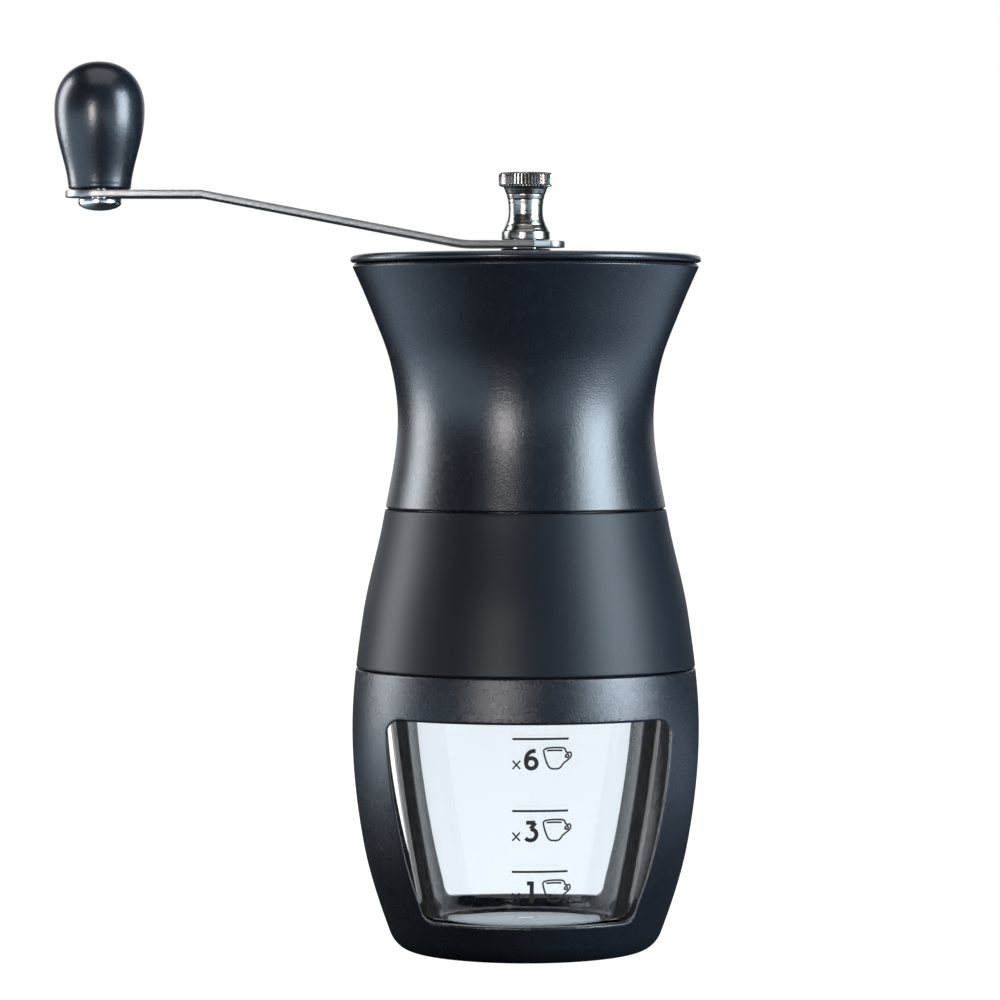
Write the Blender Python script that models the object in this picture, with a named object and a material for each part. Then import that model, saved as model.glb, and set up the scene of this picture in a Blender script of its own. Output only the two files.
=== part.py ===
"""Hand crank coffee grinder: a clear cup in a windowed base, a head with ceramic burrs, and a crank.

Metres, +Z up. The origin is the centre of the foot's flat underside. The two windows of the base face -Y
and +Y, and the crank points along -X. Every piece that turns has its origin, or that of the empty that
carries it, on its own axis.
"""

import math

import bmesh
import bpy
from mathutils import Matrix, Vector

# General clearances and the fineness of round pieces
GAP = 0.0003
BIG_STEPS = 40
MEDIUM_STEPS = 24
SMALL_STEPS = 16
SHARP_ANGLE = math.radians(32)

# The stack of the body, from the table up
BASE_HEIGHT = 0.0642
BAND_HEIGHT = 0.0359
HOPPER_HEIGHT = 0.0554

# The body's outer curve: foot, belly, waist and mouth
FOOT_FLAT_R = 0.026
FOOT_LINE_Z = 0.004
FOOT_LINE_R = 0.0310
FOOT_TURN = math.radians(63)
BELLY_DROP = 0.0137
BELLY_R = 0.03955
WAIST_RISE = 0.0203
WAIST_LEAST_R = 0.02915
MOUTH_R = 0.03970
# Points between two of those four, as shares of the height and of the radius between them
SWELL_SHARES = (0.435, 0.70)
SHOULDER_SHARES = ((0.371, 0.24), (0.68, 0.69))
FLARE_SHARES = ((0.357, 0.152), (0.671, 0.526))
FOOT_FLARE = 1.25
MOUTH_FLARE = 1.1

# Base shell
BASE_WALL = 0.0024
BASE_FLOOR = 0.0036
FLOOR_FILLET_Z = 0.008
LOCATING_RING_WIDTH = 0.0012
LOCATING_RING_HEIGHT = 0.0014
WINDOW_TOP_DROP = 0.0100
WINDOW_BOTTOM = 0.0088
WINDOW_MARGIN_TOP = 0.0078
WINDOW_MARGIN_BOTTOM = 0.0098
WINDOW_CORNER_R = 0.003

# Cup
CUP_RIM_DROP = 0.0062
CUP_FOOT_R = 0.0230
CUP_WALL = 0.0037
CUP_FLOOR = 0.0034
CUP_COLLAR_SPACE = 0.0018
CUP_BULGE = 0.0010
CUP_CLEARANCE = 0.0010
CUP_FILLET = 0.0025
CUP_EDGE = 0.0010

# Middle shell, with its collar that plugs into the base, and the rubber band around it
BAND_THICKNESS = 0.0020
CORE_WALL = 0.0022
COLLAR_DEPTH = 0.0068
COLLAR_EDGE = 0.0003
COLLAR_WALL = 0.0028
DECK_DROP = 0.0097
DECK_THICKNESS = 0.0025
SEAL_GROOVE_DEPTH = 0.0012
SEAL_GROOVE_WIDTH = 0.0022
SEAL_DROP = 0.0030
SEAL_R = 0.00055

# Hopper
HOPPER_WALL = 0.0022
SPIGOT_DEPTH = 0.0050
FUNNEL_RISE = 0.0058
FUNNEL_DROP = 0.0028
THROAT_WALL = 0.0012
BOSS_R = 0.0027
WAIST_OVER_BOSS = 0.0039
ARM_COUNT = 3
ARM_WIDTH = 0.0032
LOWER_HUB_DROP = 0.0052
LOWER_HUB_HEIGHT = 0.0056

# Star that guides the top of the shaft
GUIDE_DROP = 0.0140
GUIDE_HEIGHT = 0.0030
GUIDE_HUB_HEIGHT = 0.0060
GUIDE_RIM_WIDTH = 0.0020

# Burrs
BURR_R = 0.0180
BURR_HEIGHT = 0.0099
GRIND_R = 0.0139
CONE_CURVE = 1.6
GRIND_SHARE = 0.30
BURR_MID_SHARES = (0.5, 0.4)
GRIND_GAP = 0.00045
BURR_TEETH = 18
TOOTH_DEPTH = 0.0008
TOOTH_TWIST = math.radians(38)
INNER_BURR_HEIGHT = 0.0125
INNER_BURR_TOP_R = 0.0072
INNER_BURR_DROP = 0.0012
BURR_LEDGE = 0.0030
CARRIER_WALL = 0.0014
CARRIER_FLANGE = 0.0025
CARRIER_LIP = 0.0015
FLANGE_EDGE = 0.0005

# Screws that hold the carrier and the middle shell up against the hopper
SCREW_R = 0.0015
SCREW_HEAD_R = 0.0025
SCREW_HEAD_EDGE = 0.0005
SCREW_CROSS_R = 0.0015
SCREW_HEAD_HEIGHT = 0.0018
SCREW_LENGTH = 0.0100
SCREW_RECESS_WIDTH = 0.0007
SCREW_RECESS_DEPTH = 0.0010

# Shaft and what turns with it
SHAFT_EDGE = 0.0005
SHAFT_R = 0.0030
SHAFT_FLAT = 0.0023
BUSH_WALL = 0.0013
BUSH_FLANGE = 0.0011
BUSH_FLANGE_THICKNESS = 0.0008
HUB_WALL = 0.0017
THRUST_WASHER_R = 0.0055
THRUST_WASHER_THICKNESS = 0.0006
CIRCLIP_R = 0.0050
CIRCLIP_THICKNESS = 0.0008
CIRCLIP_GROOVE = 0.0005
CIRCLIP_OPENING = math.radians(50)
SPRING_R = 0.0045
SPRING_WIRE_R = 0.0004
SPRING_TURNS = 3.5
DETENT_R = 0.0070
DETENT_THICKNESS = 0.0008
BURR_TRAVEL = 0.0015
DIAL_R = 0.0090
DIAL_LOBE = 0.0006
DIAL_LOBES = 10
DIAL_HEIGHT = 0.0056
DIAL_NUT_R = 0.0048
DIAL_NUT_HEIGHT = 0.0036
SHAFT_TAIL = 0.0018
THREAD_R = 0.0024
THREAD_LENGTH = 0.0088

# Lid
LID_R = 0.0400
LID_THICKNESS = 0.0019
LID_SEAT_GAP = 0.0003
LID_EDGE_R = 0.0008
LID_RIB_DEPTH = 0.0030
LID_RIB_WIDTH = 0.0014

# Crank arm: a bent steel strip
SPACER_R = 0.0059
SPACER_EDGE = 0.00025
SPACER_HEIGHT = 0.0010
STRIP_THICKNESS = 0.0015
CRANK_REACH = 0.0967
CRANK_RISE = 0.0113
CRANK_BEND_OUT = 0.0735
CRANK_SLOPE = math.radians(10.8)
HUB_BEND_R = 0.025
KNOB_BEND_R = 0.004
HUB_WIDTH = 0.0170
KNOB_END_WIDTH = 0.0156
HUB_TIP = 0.0089
HUB_CHAMFER_START = 0.0017
HUB_CHAMFER_END = 0.0053
HUB_CHAMFER_WIDTH = 0.0098

# Thumb nut
NUT_HEIGHT = 0.0152
NUT_FOOT_R = 0.0055
NUT_FOOT_HEIGHT = 0.0019
NUT_NECK_R = 0.0039
NUT_NECK_HEIGHT = 0.0068
NUT_HEAD_R = 0.00615
NUT_HEAD_HEIGHT = 0.0031
NUT_CHAMFER = 0.0003
NUT_BORE_DEPTH = 0.0100

# Knob on its axle
KNOB_HEIGHT = 0.0290
KNOB_FOOT_R = 0.0071
KNOB_FOOT_EDGE = 0.0007
KNOB_BELLY_R = 0.01022
KNOB_BELLY_HEIGHT = 0.0180
KNOB_SWELL = 0.9
KNOB_CROWN = 0.91
AXLE_R = 0.0020
AXLE_TOP_DROP = 0.0080
AXLE_HEAD_R = 0.0049
AXLE_HEAD_RIM = 0.0010
AXLE_HEAD_HEIGHT = 0.0027

# Heights that follow from the stack
BAND_Z = BASE_HEIGHT + GAP
HOPPER_Z = BAND_Z + BAND_HEIGHT + GAP
MOUTH_Z = HOPPER_Z + HOPPER_HEIGHT
BELLY_Z = BASE_HEIGHT - BELLY_DROP
WAIST_Z = HOPPER_Z + WAIST_RISE
LID_Z = MOUTH_Z + LID_SEAT_GAP
LID_TOP = LID_Z + LID_THICKNESS
SPACER_Z = LID_TOP + GAP
ARM_Z = SPACER_Z + SPACER_HEIGHT + GAP
NUT_Z = ARM_Z + STRIP_THICKNESS + GAP
KNOB_Z = ARM_Z + CRANK_RISE + STRIP_THICKNESS + GAP
DECK_TOP = HOPPER_Z - DECK_DROP
DECK_Z = DECK_TOP - DECK_THICKNESS
FLANGE_Z = DECK_Z - GAP - CARRIER_FLANGE
OUTER_BURR_Z = DECK_Z - GAP - GAP - BURR_HEIGHT
CARRIER_Z = OUTER_BURR_Z - GAP - CARRIER_LIP
INNER_BURR_Z = OUTER_BURR_Z - INNER_BURR_DROP
INNER_BURR_TOP = INNER_BURR_Z + INNER_BURR_HEIGHT
LOWER_HUB_Z = HOPPER_Z - LOWER_HUB_DROP
LOWER_HUB_TOP = LOWER_HUB_Z + LOWER_HUB_HEIGHT
GUIDE_Z = MOUTH_Z - GUIDE_DROP
DETENT_Z = INNER_BURR_Z - GAP - DETENT_THICKNESS
DIAL_Z = DETENT_Z - GAP - DIAL_HEIGHT
SHAFT_Z = DIAL_Z - SHAFT_TAIL
SHAFT_FLATS_Z = SPACER_Z
THREAD_Z = NUT_Z
SHAFT_TOP = THREAD_Z + THREAD_LENGTH

# Radii that follow from what a piece fits around
BUSH_BORE_R = SHAFT_R + GAP
BUSH_R = BUSH_BORE_R + BUSH_WALL
HUB_BORE_R = BUSH_R + GAP
HUB_R = HUB_BORE_R + HUB_WALL
THROAT_R = BURR_R - BURR_LEDGE
DECK_HOLE_R = THROAT_R + THROAT_WALL + GAP
CARRIER_R = BURR_R + GAP + CARRIER_WALL
SCREW_CIRCLE_R = CARRIER_R + SCREW_HEAD_R + GAP
WAIST_R = max(WAIST_LEAST_R, SCREW_CIRCLE_R + BOSS_R + WAIST_OVER_BOSS)
FLANGE_R = SCREW_CIRCLE_R + BOSS_R + FLANGE_EDGE


# The body's outer curve


def between(low, high, share):
    return low + (high - low) * share


def share_point(start, end, shares):
    """The point between two others, by one share for each of its two values."""
    return between(start[0], end[0], shares[0]), between(start[1], end[1], shares[1])


def outline_stations():
    """(height, radius) of the points that the outer curve passes through, bottom to top."""
    foot = (FOOT_LINE_Z, FOOT_LINE_R)
    belly = (BELLY_Z, BELLY_R)
    waist = (WAIST_Z, WAIST_R)
    mouth = (MOUTH_Z, MOUTH_R)
    swell = share_point(foot, belly, SWELL_SHARES)
    shoulders = [share_point(belly, waist, shares) for shares in SHOULDER_SHARES]
    flares = [share_point(waist, mouth, shares) for shares in FLARE_SHARES]
    return [foot, swell, belly, *shoulders, waist, *flares, mouth]


def outline_slopes(stations):
    """The curve's slope at each station: level at belly and waist, averaged between the others."""
    slopes = []
    last = len(stations) - 1
    for i, station in enumerate(stations):
        low = stations[max(i - 1, 0)]
        high = stations[min(i + 1, last)]
        slope = (high[1] - low[1]) / (high[0] - low[0])
        if station[1] in (BELLY_R, WAIST_R):
            slope = 0.0
        elif i == 0:
            slope *= FOOT_FLARE
        elif i == last:
            slope *= MOUTH_FLARE
        slopes.append(slope)
    return slopes


STATIONS = outline_stations()
SLOPES = outline_slopes(STATIONS)


def outline(z):
    """Outer radius of the body at height z, on a cubic between two stations."""
    i = 0
    while i < len(STATIONS) - 2 and z > STATIONS[i + 1][0]:
        i += 1
    (low_z, low_r), (high_z, high_r) = STATIONS[i], STATIONS[i + 1]
    span = high_z - low_z
    t = (z - low_z) / span
    return (
        low_r * (2 * t**3 - 3 * t**2 + 1)
        + SLOPES[i] * span * (t**3 - 2 * t**2 + t)
        + high_r * (3 * t**2 - 2 * t**3)
        + SLOPES[i + 1] * span * (t**3 - t**2)
    )


def outline_run(z_from, z_to, count, inset=0.0):
    """Points (radius, height) along the outer curve moved inwards by inset."""
    heights = [between(z_from, z_to, i / (count - 1)) for i in range(count)]
    return [(outline(z) - inset, z) for z in heights]


def arc(centre_r, centre_z, radius, start, end, count):
    """Points (radius, height) on a circular arc; angles in degrees, 0 pointing outwards, 90 up."""
    angles = [math.radians(between(start, end, i / (count - 1))) for i in range(count)]
    return [(centre_r + radius * math.cos(a), centre_z + radius * math.sin(a)) for a in angles]


# Scene, materials and objects


def clear_scene():
    for obj in list(bpy.data.objects):
        bpy.data.objects.remove(obj, do_unlink=True)


def material(name, colour, roughness, metallic=0.0, alpha=1.0):
    made = bpy.data.materials.new(name)
    made.use_nodes = True
    shader = made.node_tree.nodes["Principled BSDF"]
    shader.inputs["Base Color"].default_value = (*colour, 1.0)
    shader.inputs["Roughness"].default_value = roughness
    shader.inputs["Metallic"].default_value = metallic
    shader.inputs["Alpha"].default_value = alpha
    made.diffuse_color = (*colour, alpha)
    return made


def joint(name, location, parent):
    """An empty on a joint's axis, which carries the pieces that move together."""
    made = bpy.data.objects.new(name, None)
    bpy.context.scene.collection.objects.link(made)
    made.parent = parent
    offset = parent.matrix_world.translation if parent else Vector()
    made.location = Vector(location) - offset
    bpy.context.view_layer.update()
    return made


def place(name, data, finish, parent, location=(0, 0, 0)):
    """Links mesh or curve data as an object at a world location under its parent."""
    obj = bpy.data.objects.new(name, data)
    bpy.context.scene.collection.objects.link(obj)
    obj.data.materials.append(finish)
    obj.parent = parent
    offset = parent.matrix_world.translation if parent else Vector()
    obj.location = Vector(location) - offset
    return obj


def finished(bm, name):
    """The bmesh as a mesh with its faces pointing out, shaded smooth up to the sharp angle."""
    bmesh.ops.recalc_face_normals(bm, faces=bm.faces)
    mesh = bpy.data.meshes.new(name)
    bm.to_mesh(mesh)
    bm.free()
    mesh.shade_smooth()
    mesh.set_sharp_from_angle(angle=SHARP_ANGLE)
    return mesh


def turned(name, profile, steps=MEDIUM_STEPS):
    """A mesh turned about Z from a profile of (radius, height), closed on itself or on the axis."""
    bm = bmesh.new()
    corners = [bm.verts.new((r, 0, z)) for r, z in profile]
    on_axis = profile[0][0] == 0 and profile[-1][0] == 0
    pairs = list(zip(corners, corners[1:]))
    if not on_axis:
        pairs.append((corners[-1], corners[0]))
    edges = [bm.edges.new(pair) for pair in pairs]
    bmesh.ops.spin(
        bm,
        geom=corners + edges,
        cent=(0, 0, 0),
        axis=(0, 0, 1),
        angle=2 * math.pi,
        steps=steps,
        use_merge=True,
    )
    bmesh.ops.remove_doubles(bm, verts=bm.verts, dist=1e-6)
    return finished(bm, name)


def prism(name, outline_points, z_low, z_high):
    """A mesh whose outline of (x, y) points is extruded from z_low to z_high."""
    bm = bmesh.new()
    floor = bm.faces.new([bm.verts.new((x, y, z_low)) for x, y in outline_points])
    sides = bmesh.ops.extrude_face_region(bm, geom=[floor])
    moved = [item for item in sides["geom"] if isinstance(item, bmesh.types.BMVert)]
    bmesh.ops.translate(bm, verts=moved, vec=(0, 0, z_high - z_low))
    return finished(bm, name)


def circle_points(radius, steps, centre=(0, 0), start=0.0):
    """Points (x, y) around a circle."""
    turns = [start + 2 * math.pi * i / steps for i in range(steps)]
    return [(centre[0] + radius * math.cos(a), centre[1] + radius * math.sin(a)) for a in turns]


def star_points(hub_r, reach, width, count, steps):
    """Outline of a round hub with straight arms that run out to reach."""
    points = []
    half = math.asin(width / 2 / hub_r)
    for arm in range(count):
        along = math.pi / 2 + 2 * math.pi * arm / count
        direction = Vector((math.cos(along), math.sin(along)))
        across = Vector((-direction.y, direction.x)) * width / 2
        run = math.sqrt(reach**2 - (width / 2) ** 2)
        points.append(tuple(direction * run - across))
        points.append(tuple(direction * run + across))
        gap = 2 * math.pi / count - 2 * half
        for i in range(steps + 1):
            angle = along + half + gap * i / steps
            points.append((hub_r * math.cos(angle), hub_r * math.sin(angle)))
    return points


def toothed(name, loop, teeth, twist):
    """A ring turned from a loop of (radius, height, tooth depth), with teeth that twist with height.

    A depth above zero cuts each tooth's gap inwards, and one below zero cuts it outwards.
    """
    shares = (0.0, 0.35, 1.0)
    count = teeth * len(shares)
    low = min(z for _, z, _ in loop)
    high = max(z for _, z, _ in loop)
    bm = bmesh.new()
    rings = []
    for r, z, depth in loop:
        turn = twist * (z - low) / (high - low)
        ring = []
        for i in range(count):
            angle = turn + 2 * math.pi * i / count
            radius = r - depth * shares[i % len(shares)]
            ring.append(bm.verts.new((radius * math.cos(angle), radius * math.sin(angle), z)))
        rings.append(ring)
    for ring, following in zip(rings, rings[1:] + rings[:1]):
        for i in range(count):
            j = (i + 1) % count
            bm.faces.new((ring[i], ring[j], following[j], following[i]))
    return finished(bm, name)


def tool(name, mesh, parent, location=(0, 0, 0)):
    """A hidden helper for a Boolean."""
    obj = bpy.data.objects.new(name, mesh)
    bpy.context.scene.collection.objects.link(obj)
    obj.parent = parent
    offset = parent.matrix_world.translation if parent else Vector()
    obj.location = Vector(location) - offset
    obj.hide_render = True
    obj.display_type = "WIRE"
    obj.hide_set(True)
    return obj


def boolean(obj, helper, operation):
    step = obj.modifiers.new(f"{operation.lower()}_{helper.name}", "BOOLEAN")
    step.operation = operation
    step.solver = "EXACT"
    step.object = helper


# Pieces of the base


def foot_curve(count=5):
    """Points from the flat underside round to the foot line."""
    points = []
    for i in range(count):
        angle = FOOT_TURN * i / (count - 1)
        r_share = math.sin(angle) / math.sin(FOOT_TURN)
        z_share = (1 - math.cos(angle)) / (1 - math.cos(FOOT_TURN))
        points.append((between(FOOT_FLAT_R, FOOT_LINE_R, r_share), FOOT_LINE_Z * z_share))
    return points


def window_half_width(z):
    """Half the window's width at height z: the outer curve less a margin that grows downwards."""
    share = (z - WINDOW_BOTTOM) / (BASE_HEIGHT - WINDOW_TOP_DROP - WINDOW_BOTTOM)
    return outline(z) - between(WINDOW_MARGIN_BOTTOM, WINDOW_MARGIN_TOP, share)


def window_points():
    """Outline (x, z) of a window, with rounded corners, going round from the bottom."""
    top = BASE_HEIGHT - WINDOW_TOP_DROP
    radius = WINDOW_CORNER_R
    low_half = window_half_width(WINDOW_BOTTOM + radius)
    high_half = window_half_width(top - radius)
    right = arc(low_half - radius, WINDOW_BOTTOM + radius, radius, -90, -10, 4)
    for i in range(1, 6):
        z = between(WINDOW_BOTTOM + radius, top - radius, i / 6)
        right.append((window_half_width(z), z))
    right += arc(high_half - radius, top - radius, radius, 0, 90, 4)
    return right + [(-x, z) for x, z in reversed(right)]


def make_base_shell(finish, parent):
    top = BASE_HEIGHT
    ring_r = cup_radius(BASE_FLOOR + LOCATING_RING_HEIGHT) + GAP
    profile = [(0, 0)]
    profile += foot_curve()
    profile += outline_run(FOOT_LINE_Z, top, 10)[1:]
    profile += outline_run(top, FLOOR_FILLET_Z, 8, inset=BASE_WALL)
    profile.append((FOOT_FLAT_R, BASE_FLOOR))
    profile.append((ring_r + LOCATING_RING_WIDTH, BASE_FLOOR))
    profile.append((ring_r + LOCATING_RING_WIDTH, BASE_FLOOR + LOCATING_RING_HEIGHT))
    profile.append((ring_r, BASE_FLOOR + LOCATING_RING_HEIGHT))
    profile.append((ring_r, BASE_FLOOR))
    profile.append((0, BASE_FLOOR))
    shell = place("base_shell", turned("base_shell", profile, BIG_STEPS), finish, parent)
    depth = BELLY_R + BASE_WALL
    opening = prism("window_cutter", window_points(), -depth, depth)
    opening.transform(Matrix.Rotation(math.pi / 2, 4, "X"))
    boolean(shell, tool("window_cutter", opening, parent), "DIFFERENCE")
    return shell


def cup_radius(z):
    """Outer radius of the cup at height z: a cone that swells a little and stays inside the base."""
    low = BASE_FLOOR + GAP
    share = (z - low) / (BASE_HEIGHT - CUP_RIM_DROP - low)
    top_r = collar_radius() - COLLAR_WALL - CUP_COLLAR_SPACE
    cone = between(CUP_FOOT_R, top_r, share) + CUP_BULGE * 4 * share * (1 - share)
    return min(cone, outline(z) - BASE_WALL - CUP_CLEARANCE)


def make_cup(finish, parent):
    low = BASE_FLOOR + GAP
    high = BASE_HEIGHT - CUP_RIM_DROP
    floor = low + CUP_FLOOR
    count = 6
    outer = [between(low + CUP_EDGE, high - CUP_EDGE, i / count) for i in range(count + 1)]
    inner = [between(high - CUP_EDGE, floor + CUP_FILLET, i / count) for i in range(count)]
    foot_wall = cup_radius(floor + CUP_FILLET) - CUP_WALL
    profile = [(0, low), (CUP_FOOT_R - CUP_EDGE, low)]
    profile += [(cup_radius(z), z) for z in outer]
    profile += [(cup_radius(high) - CUP_EDGE, high), (cup_radius(high) - CUP_WALL + CUP_EDGE, high)]
    profile += [(cup_radius(z) - CUP_WALL, z) for z in inner]
    profile += arc(foot_wall - CUP_FILLET, floor + CUP_FILLET, CUP_FILLET, 0, -90, 4)
    profile.append((0, floor))
    return place("cup", turned("cup", profile, BIG_STEPS), finish, parent)


# Pieces of the head


def collar_radius():
    """Outer radius of the collar, which slides inside the top of the base shell."""
    return outline(BASE_HEIGHT) - BASE_WALL - GAP


def make_middle_shell(finish, parent):
    """The inner wall behind the rubber band, its deck over the burrs, and the collar below."""
    outside = BAND_THICKNESS + GAP
    inside = outside + CORE_WALL
    top = HOPPER_Z - 2 * GAP
    collar = collar_radius()
    collar_foot = BASE_HEIGHT - COLLAR_DEPTH
    groove_top = BASE_HEIGHT - SEAL_DROP + SEAL_GROOVE_WIDTH / 2
    groove_foot = groove_top - SEAL_GROOVE_WIDTH
    profile = outline_run(top, BAND_Z + 2 * GAP, 6, inset=outside)
    profile += [
        (collar, BAND_Z),
        (collar, groove_top),
        (collar - SEAL_GROOVE_DEPTH, groove_top),
        (collar - SEAL_GROOVE_DEPTH, groove_foot),
        (collar, groove_foot),
        (collar, collar_foot + COLLAR_EDGE),
        (collar - COLLAR_EDGE, collar_foot),
        (collar - COLLAR_WALL, collar_foot),
        (collar - COLLAR_WALL, BASE_HEIGHT),
    ]
    profile += outline_run(BASE_HEIGHT + COLLAR_WALL, DECK_Z, 4, inset=inside)
    profile += [(DECK_HOLE_R, DECK_Z), (DECK_HOLE_R, DECK_TOP)]
    profile += outline_run(DECK_TOP, top, 3, inset=inside)
    shell = place("middle_shell", turned("middle_shell", profile, BIG_STEPS), finish, parent)
    for i, (x, y) in enumerate(screw_places()):
        hole = prism(
            f"deck_hole_{i}", circle_points(SCREW_R + GAP, 12), DECK_Z - GAP, DECK_TOP + GAP
        )
        boolean(shell, tool(f"deck_hole_{i}", hole, parent, (x, y, 0)), "DIFFERENCE")
    return shell


def make_grip_band(finish, parent):
    top = BAND_Z + BAND_HEIGHT
    profile = outline_run(top, BAND_Z, 7) + outline_run(BAND_Z, top, 7, inset=BAND_THICKNESS)
    return place("grip_band", turned("grip_band", profile, BIG_STEPS), finish, parent)


def make_seal_ring(finish, parent):
    centre = collar_radius() - SEAL_GROOVE_DEPTH + GAP + SEAL_R
    profile = arc(centre, BASE_HEIGHT - SEAL_DROP, SEAL_R, 0, 300, 6)
    return place("seal_ring", turned("seal_ring", profile, BIG_STEPS), finish, parent)


def screw_places():
    return circle_points(SCREW_CIRCLE_R, ARM_COUNT, start=-math.pi / 2)


def make_hopper(finish, parent):
    """The flared shell for the beans, with its funnel, throat, screw bosses and shaft hub."""
    spigot_r = outline(HOPPER_Z) - BAND_THICKNESS - CORE_WALL - 2 * GAP
    spigot_z = HOPPER_Z - SPIGOT_DEPTH
    funnel_top = HOPPER_Z + FUNNEL_RISE
    funnel_foot = HOPPER_Z - FUNNEL_DROP
    throat_foot = DECK_Z + GAP
    under = HOPPER_WALL * 1.2
    throat_out = THROAT_R + THROAT_WALL
    slope = (funnel_top - funnel_foot) / (outline(funnel_top) - HOPPER_WALL - THROAT_R)
    spigot_in = spigot_r - HOPPER_WALL
    profile = outline_run(MOUTH_Z, HOPPER_Z, 10)
    profile += [
        (spigot_r, HOPPER_Z),
        (spigot_r, spigot_z),
        (spigot_in, spigot_z),
        (spigot_in, funnel_foot + slope * (spigot_in - THROAT_R) - under),
        (throat_out, funnel_foot + slope * THROAT_WALL - under),
        (throat_out, throat_foot),
        (THROAT_R, throat_foot),
        (THROAT_R, funnel_foot),
    ]
    profile += outline_run(funnel_top, MOUTH_Z, 7, inset=HOPPER_WALL)
    hopper = place("hopper", turned("hopper", profile, BIG_STEPS), finish, parent)

    boss_z = DECK_TOP + GAP
    for i, (x, y) in enumerate(screw_places()):
        boss_top = funnel_foot + slope * (SCREW_CIRCLE_R - BOSS_R - THROAT_R) - under / 2
        boss = prism(f"screw_boss_{i}", circle_points(BOSS_R, 16), boss_z, boss_top)
        boolean(hopper, tool(f"screw_boss_{i}", boss, parent, (x, y, 0)), "UNION")
    reach = THROAT_R + THROAT_WALL / 2
    star = prism(
        "lower_star",
        star_points(HUB_R, reach, ARM_WIDTH, ARM_COUNT, 6),
        LOWER_HUB_Z,
        LOWER_HUB_TOP,
    )
    boolean(hopper, tool("lower_star", star, parent), "UNION")
    bore = prism(
        "lower_bore", circle_points(HUB_BORE_R, 24), LOWER_HUB_Z - GAP, LOWER_HUB_TOP + GAP
    )
    boolean(hopper, tool("lower_bore", bore, parent), "DIFFERENCE")
    for i, (x, y) in enumerate(screw_places()):
        tip = FLANGE_Z - GAP + SCREW_LENGTH + GAP
        hole = prism(f"boss_hole_{i}", circle_points(SCREW_R + GAP, 12), boss_z - GAP, tip)
        boolean(hopper, tool(f"boss_hole_{i}", hole, parent, (x, y, 0)), "DIFFERENCE")
    return hopper


def make_shaft_guide(finish, parent):
    """A three-armed star that wedges into the flare of the hopper and steadies the shaft."""
    rim_r = outline(GUIDE_Z) - HOPPER_WALL - GAP
    rim = [
        (rim_r, GUIDE_Z),
        (rim_r, GUIDE_Z + GUIDE_HEIGHT),
        (rim_r - GUIDE_RIM_WIDTH, GUIDE_Z + GUIDE_HEIGHT),
        (rim_r - GUIDE_RIM_WIDTH, GUIDE_Z),
    ]
    guide = place("shaft_guide", turned("shaft_guide", rim, BIG_STEPS), finish, parent)
    reach = rim_r - GUIDE_RIM_WIDTH / 2
    arms = prism(
        "guide_arms",
        star_points(HUB_R, reach, ARM_WIDTH, ARM_COUNT, 6),
        GUIDE_Z + GAP,
        GUIDE_Z + GUIDE_HEIGHT - GAP,
    )
    boolean(guide, tool("guide_arms", arms, parent), "UNION")
    hub = prism(
        "guide_hub", circle_points(HUB_R + GAP, 24), GUIDE_Z, GUIDE_Z + GUIDE_HUB_HEIGHT
    )
    boolean(guide, tool("guide_hub", hub, parent), "UNION")
    bore = prism(
        "guide_bore",
        circle_points(HUB_BORE_R, 24),
        GUIDE_Z - GAP,
        GUIDE_Z + GUIDE_HUB_HEIGHT + GAP,
    )
    boolean(guide, tool("guide_bore", bore, parent), "DIFFERENCE")
    return guide


def make_bush(name, hub_z, hub_height, finish, parent):
    """A flanged bush that drops into a hub from above."""
    top = hub_z + hub_height + GAP + BUSH_FLANGE_THICKNESS
    flange_r = BUSH_R + BUSH_FLANGE
    profile = [
        (BUSH_BORE_R, hub_z),
        (BUSH_BORE_R, top),
        (flange_r, top),
        (flange_r, hub_z + hub_height + GAP),
        (BUSH_R, hub_z + hub_height + GAP),
        (BUSH_R, hub_z),
    ]
    return place(name, turned(name, profile, SMALL_STEPS), finish, parent)


def make_burr_carrier(finish, parent):
    """The ring that holds the outer burr from below, with a screwed flange."""
    lip_r = BURR_R - CARRIER_LIP
    profile = [
        (FLANGE_R, FLANGE_Z),
        (FLANGE_R, FLANGE_Z + CARRIER_FLANGE),
        (BURR_R + GAP, FLANGE_Z + CARRIER_FLANGE),
        (BURR_R + GAP, OUTER_BURR_Z - GAP),
        (lip_r, OUTER_BURR_Z - GAP),
        (lip_r, CARRIER_Z),
        (CARRIER_R, CARRIER_Z),
        (CARRIER_R, FLANGE_Z),
    ]
    carrier = place("burr_carrier", turned("burr_carrier", profile, BIG_STEPS), finish, parent)
    for i, (x, y) in enumerate(screw_places()):
        hole = prism(
            f"flange_hole_{i}",
            circle_points(SCREW_R + GAP, 12),
            FLANGE_Z - GAP,
            FLANGE_Z + CARRIER_FLANGE + GAP,
        )
        boolean(carrier, tool(f"flange_hole_{i}", hole, parent, (x, y, 0)), "DIFFERENCE")
    return carrier


def inner_burr_radius(z):
    """Radius over the tips of the inner burr's teeth: a short skirt, then a steep cone."""
    share = (z - INNER_BURR_Z) / INNER_BURR_HEIGHT
    return between(GRIND_R, INNER_BURR_TOP_R, share**CONE_CURVE)


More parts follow.
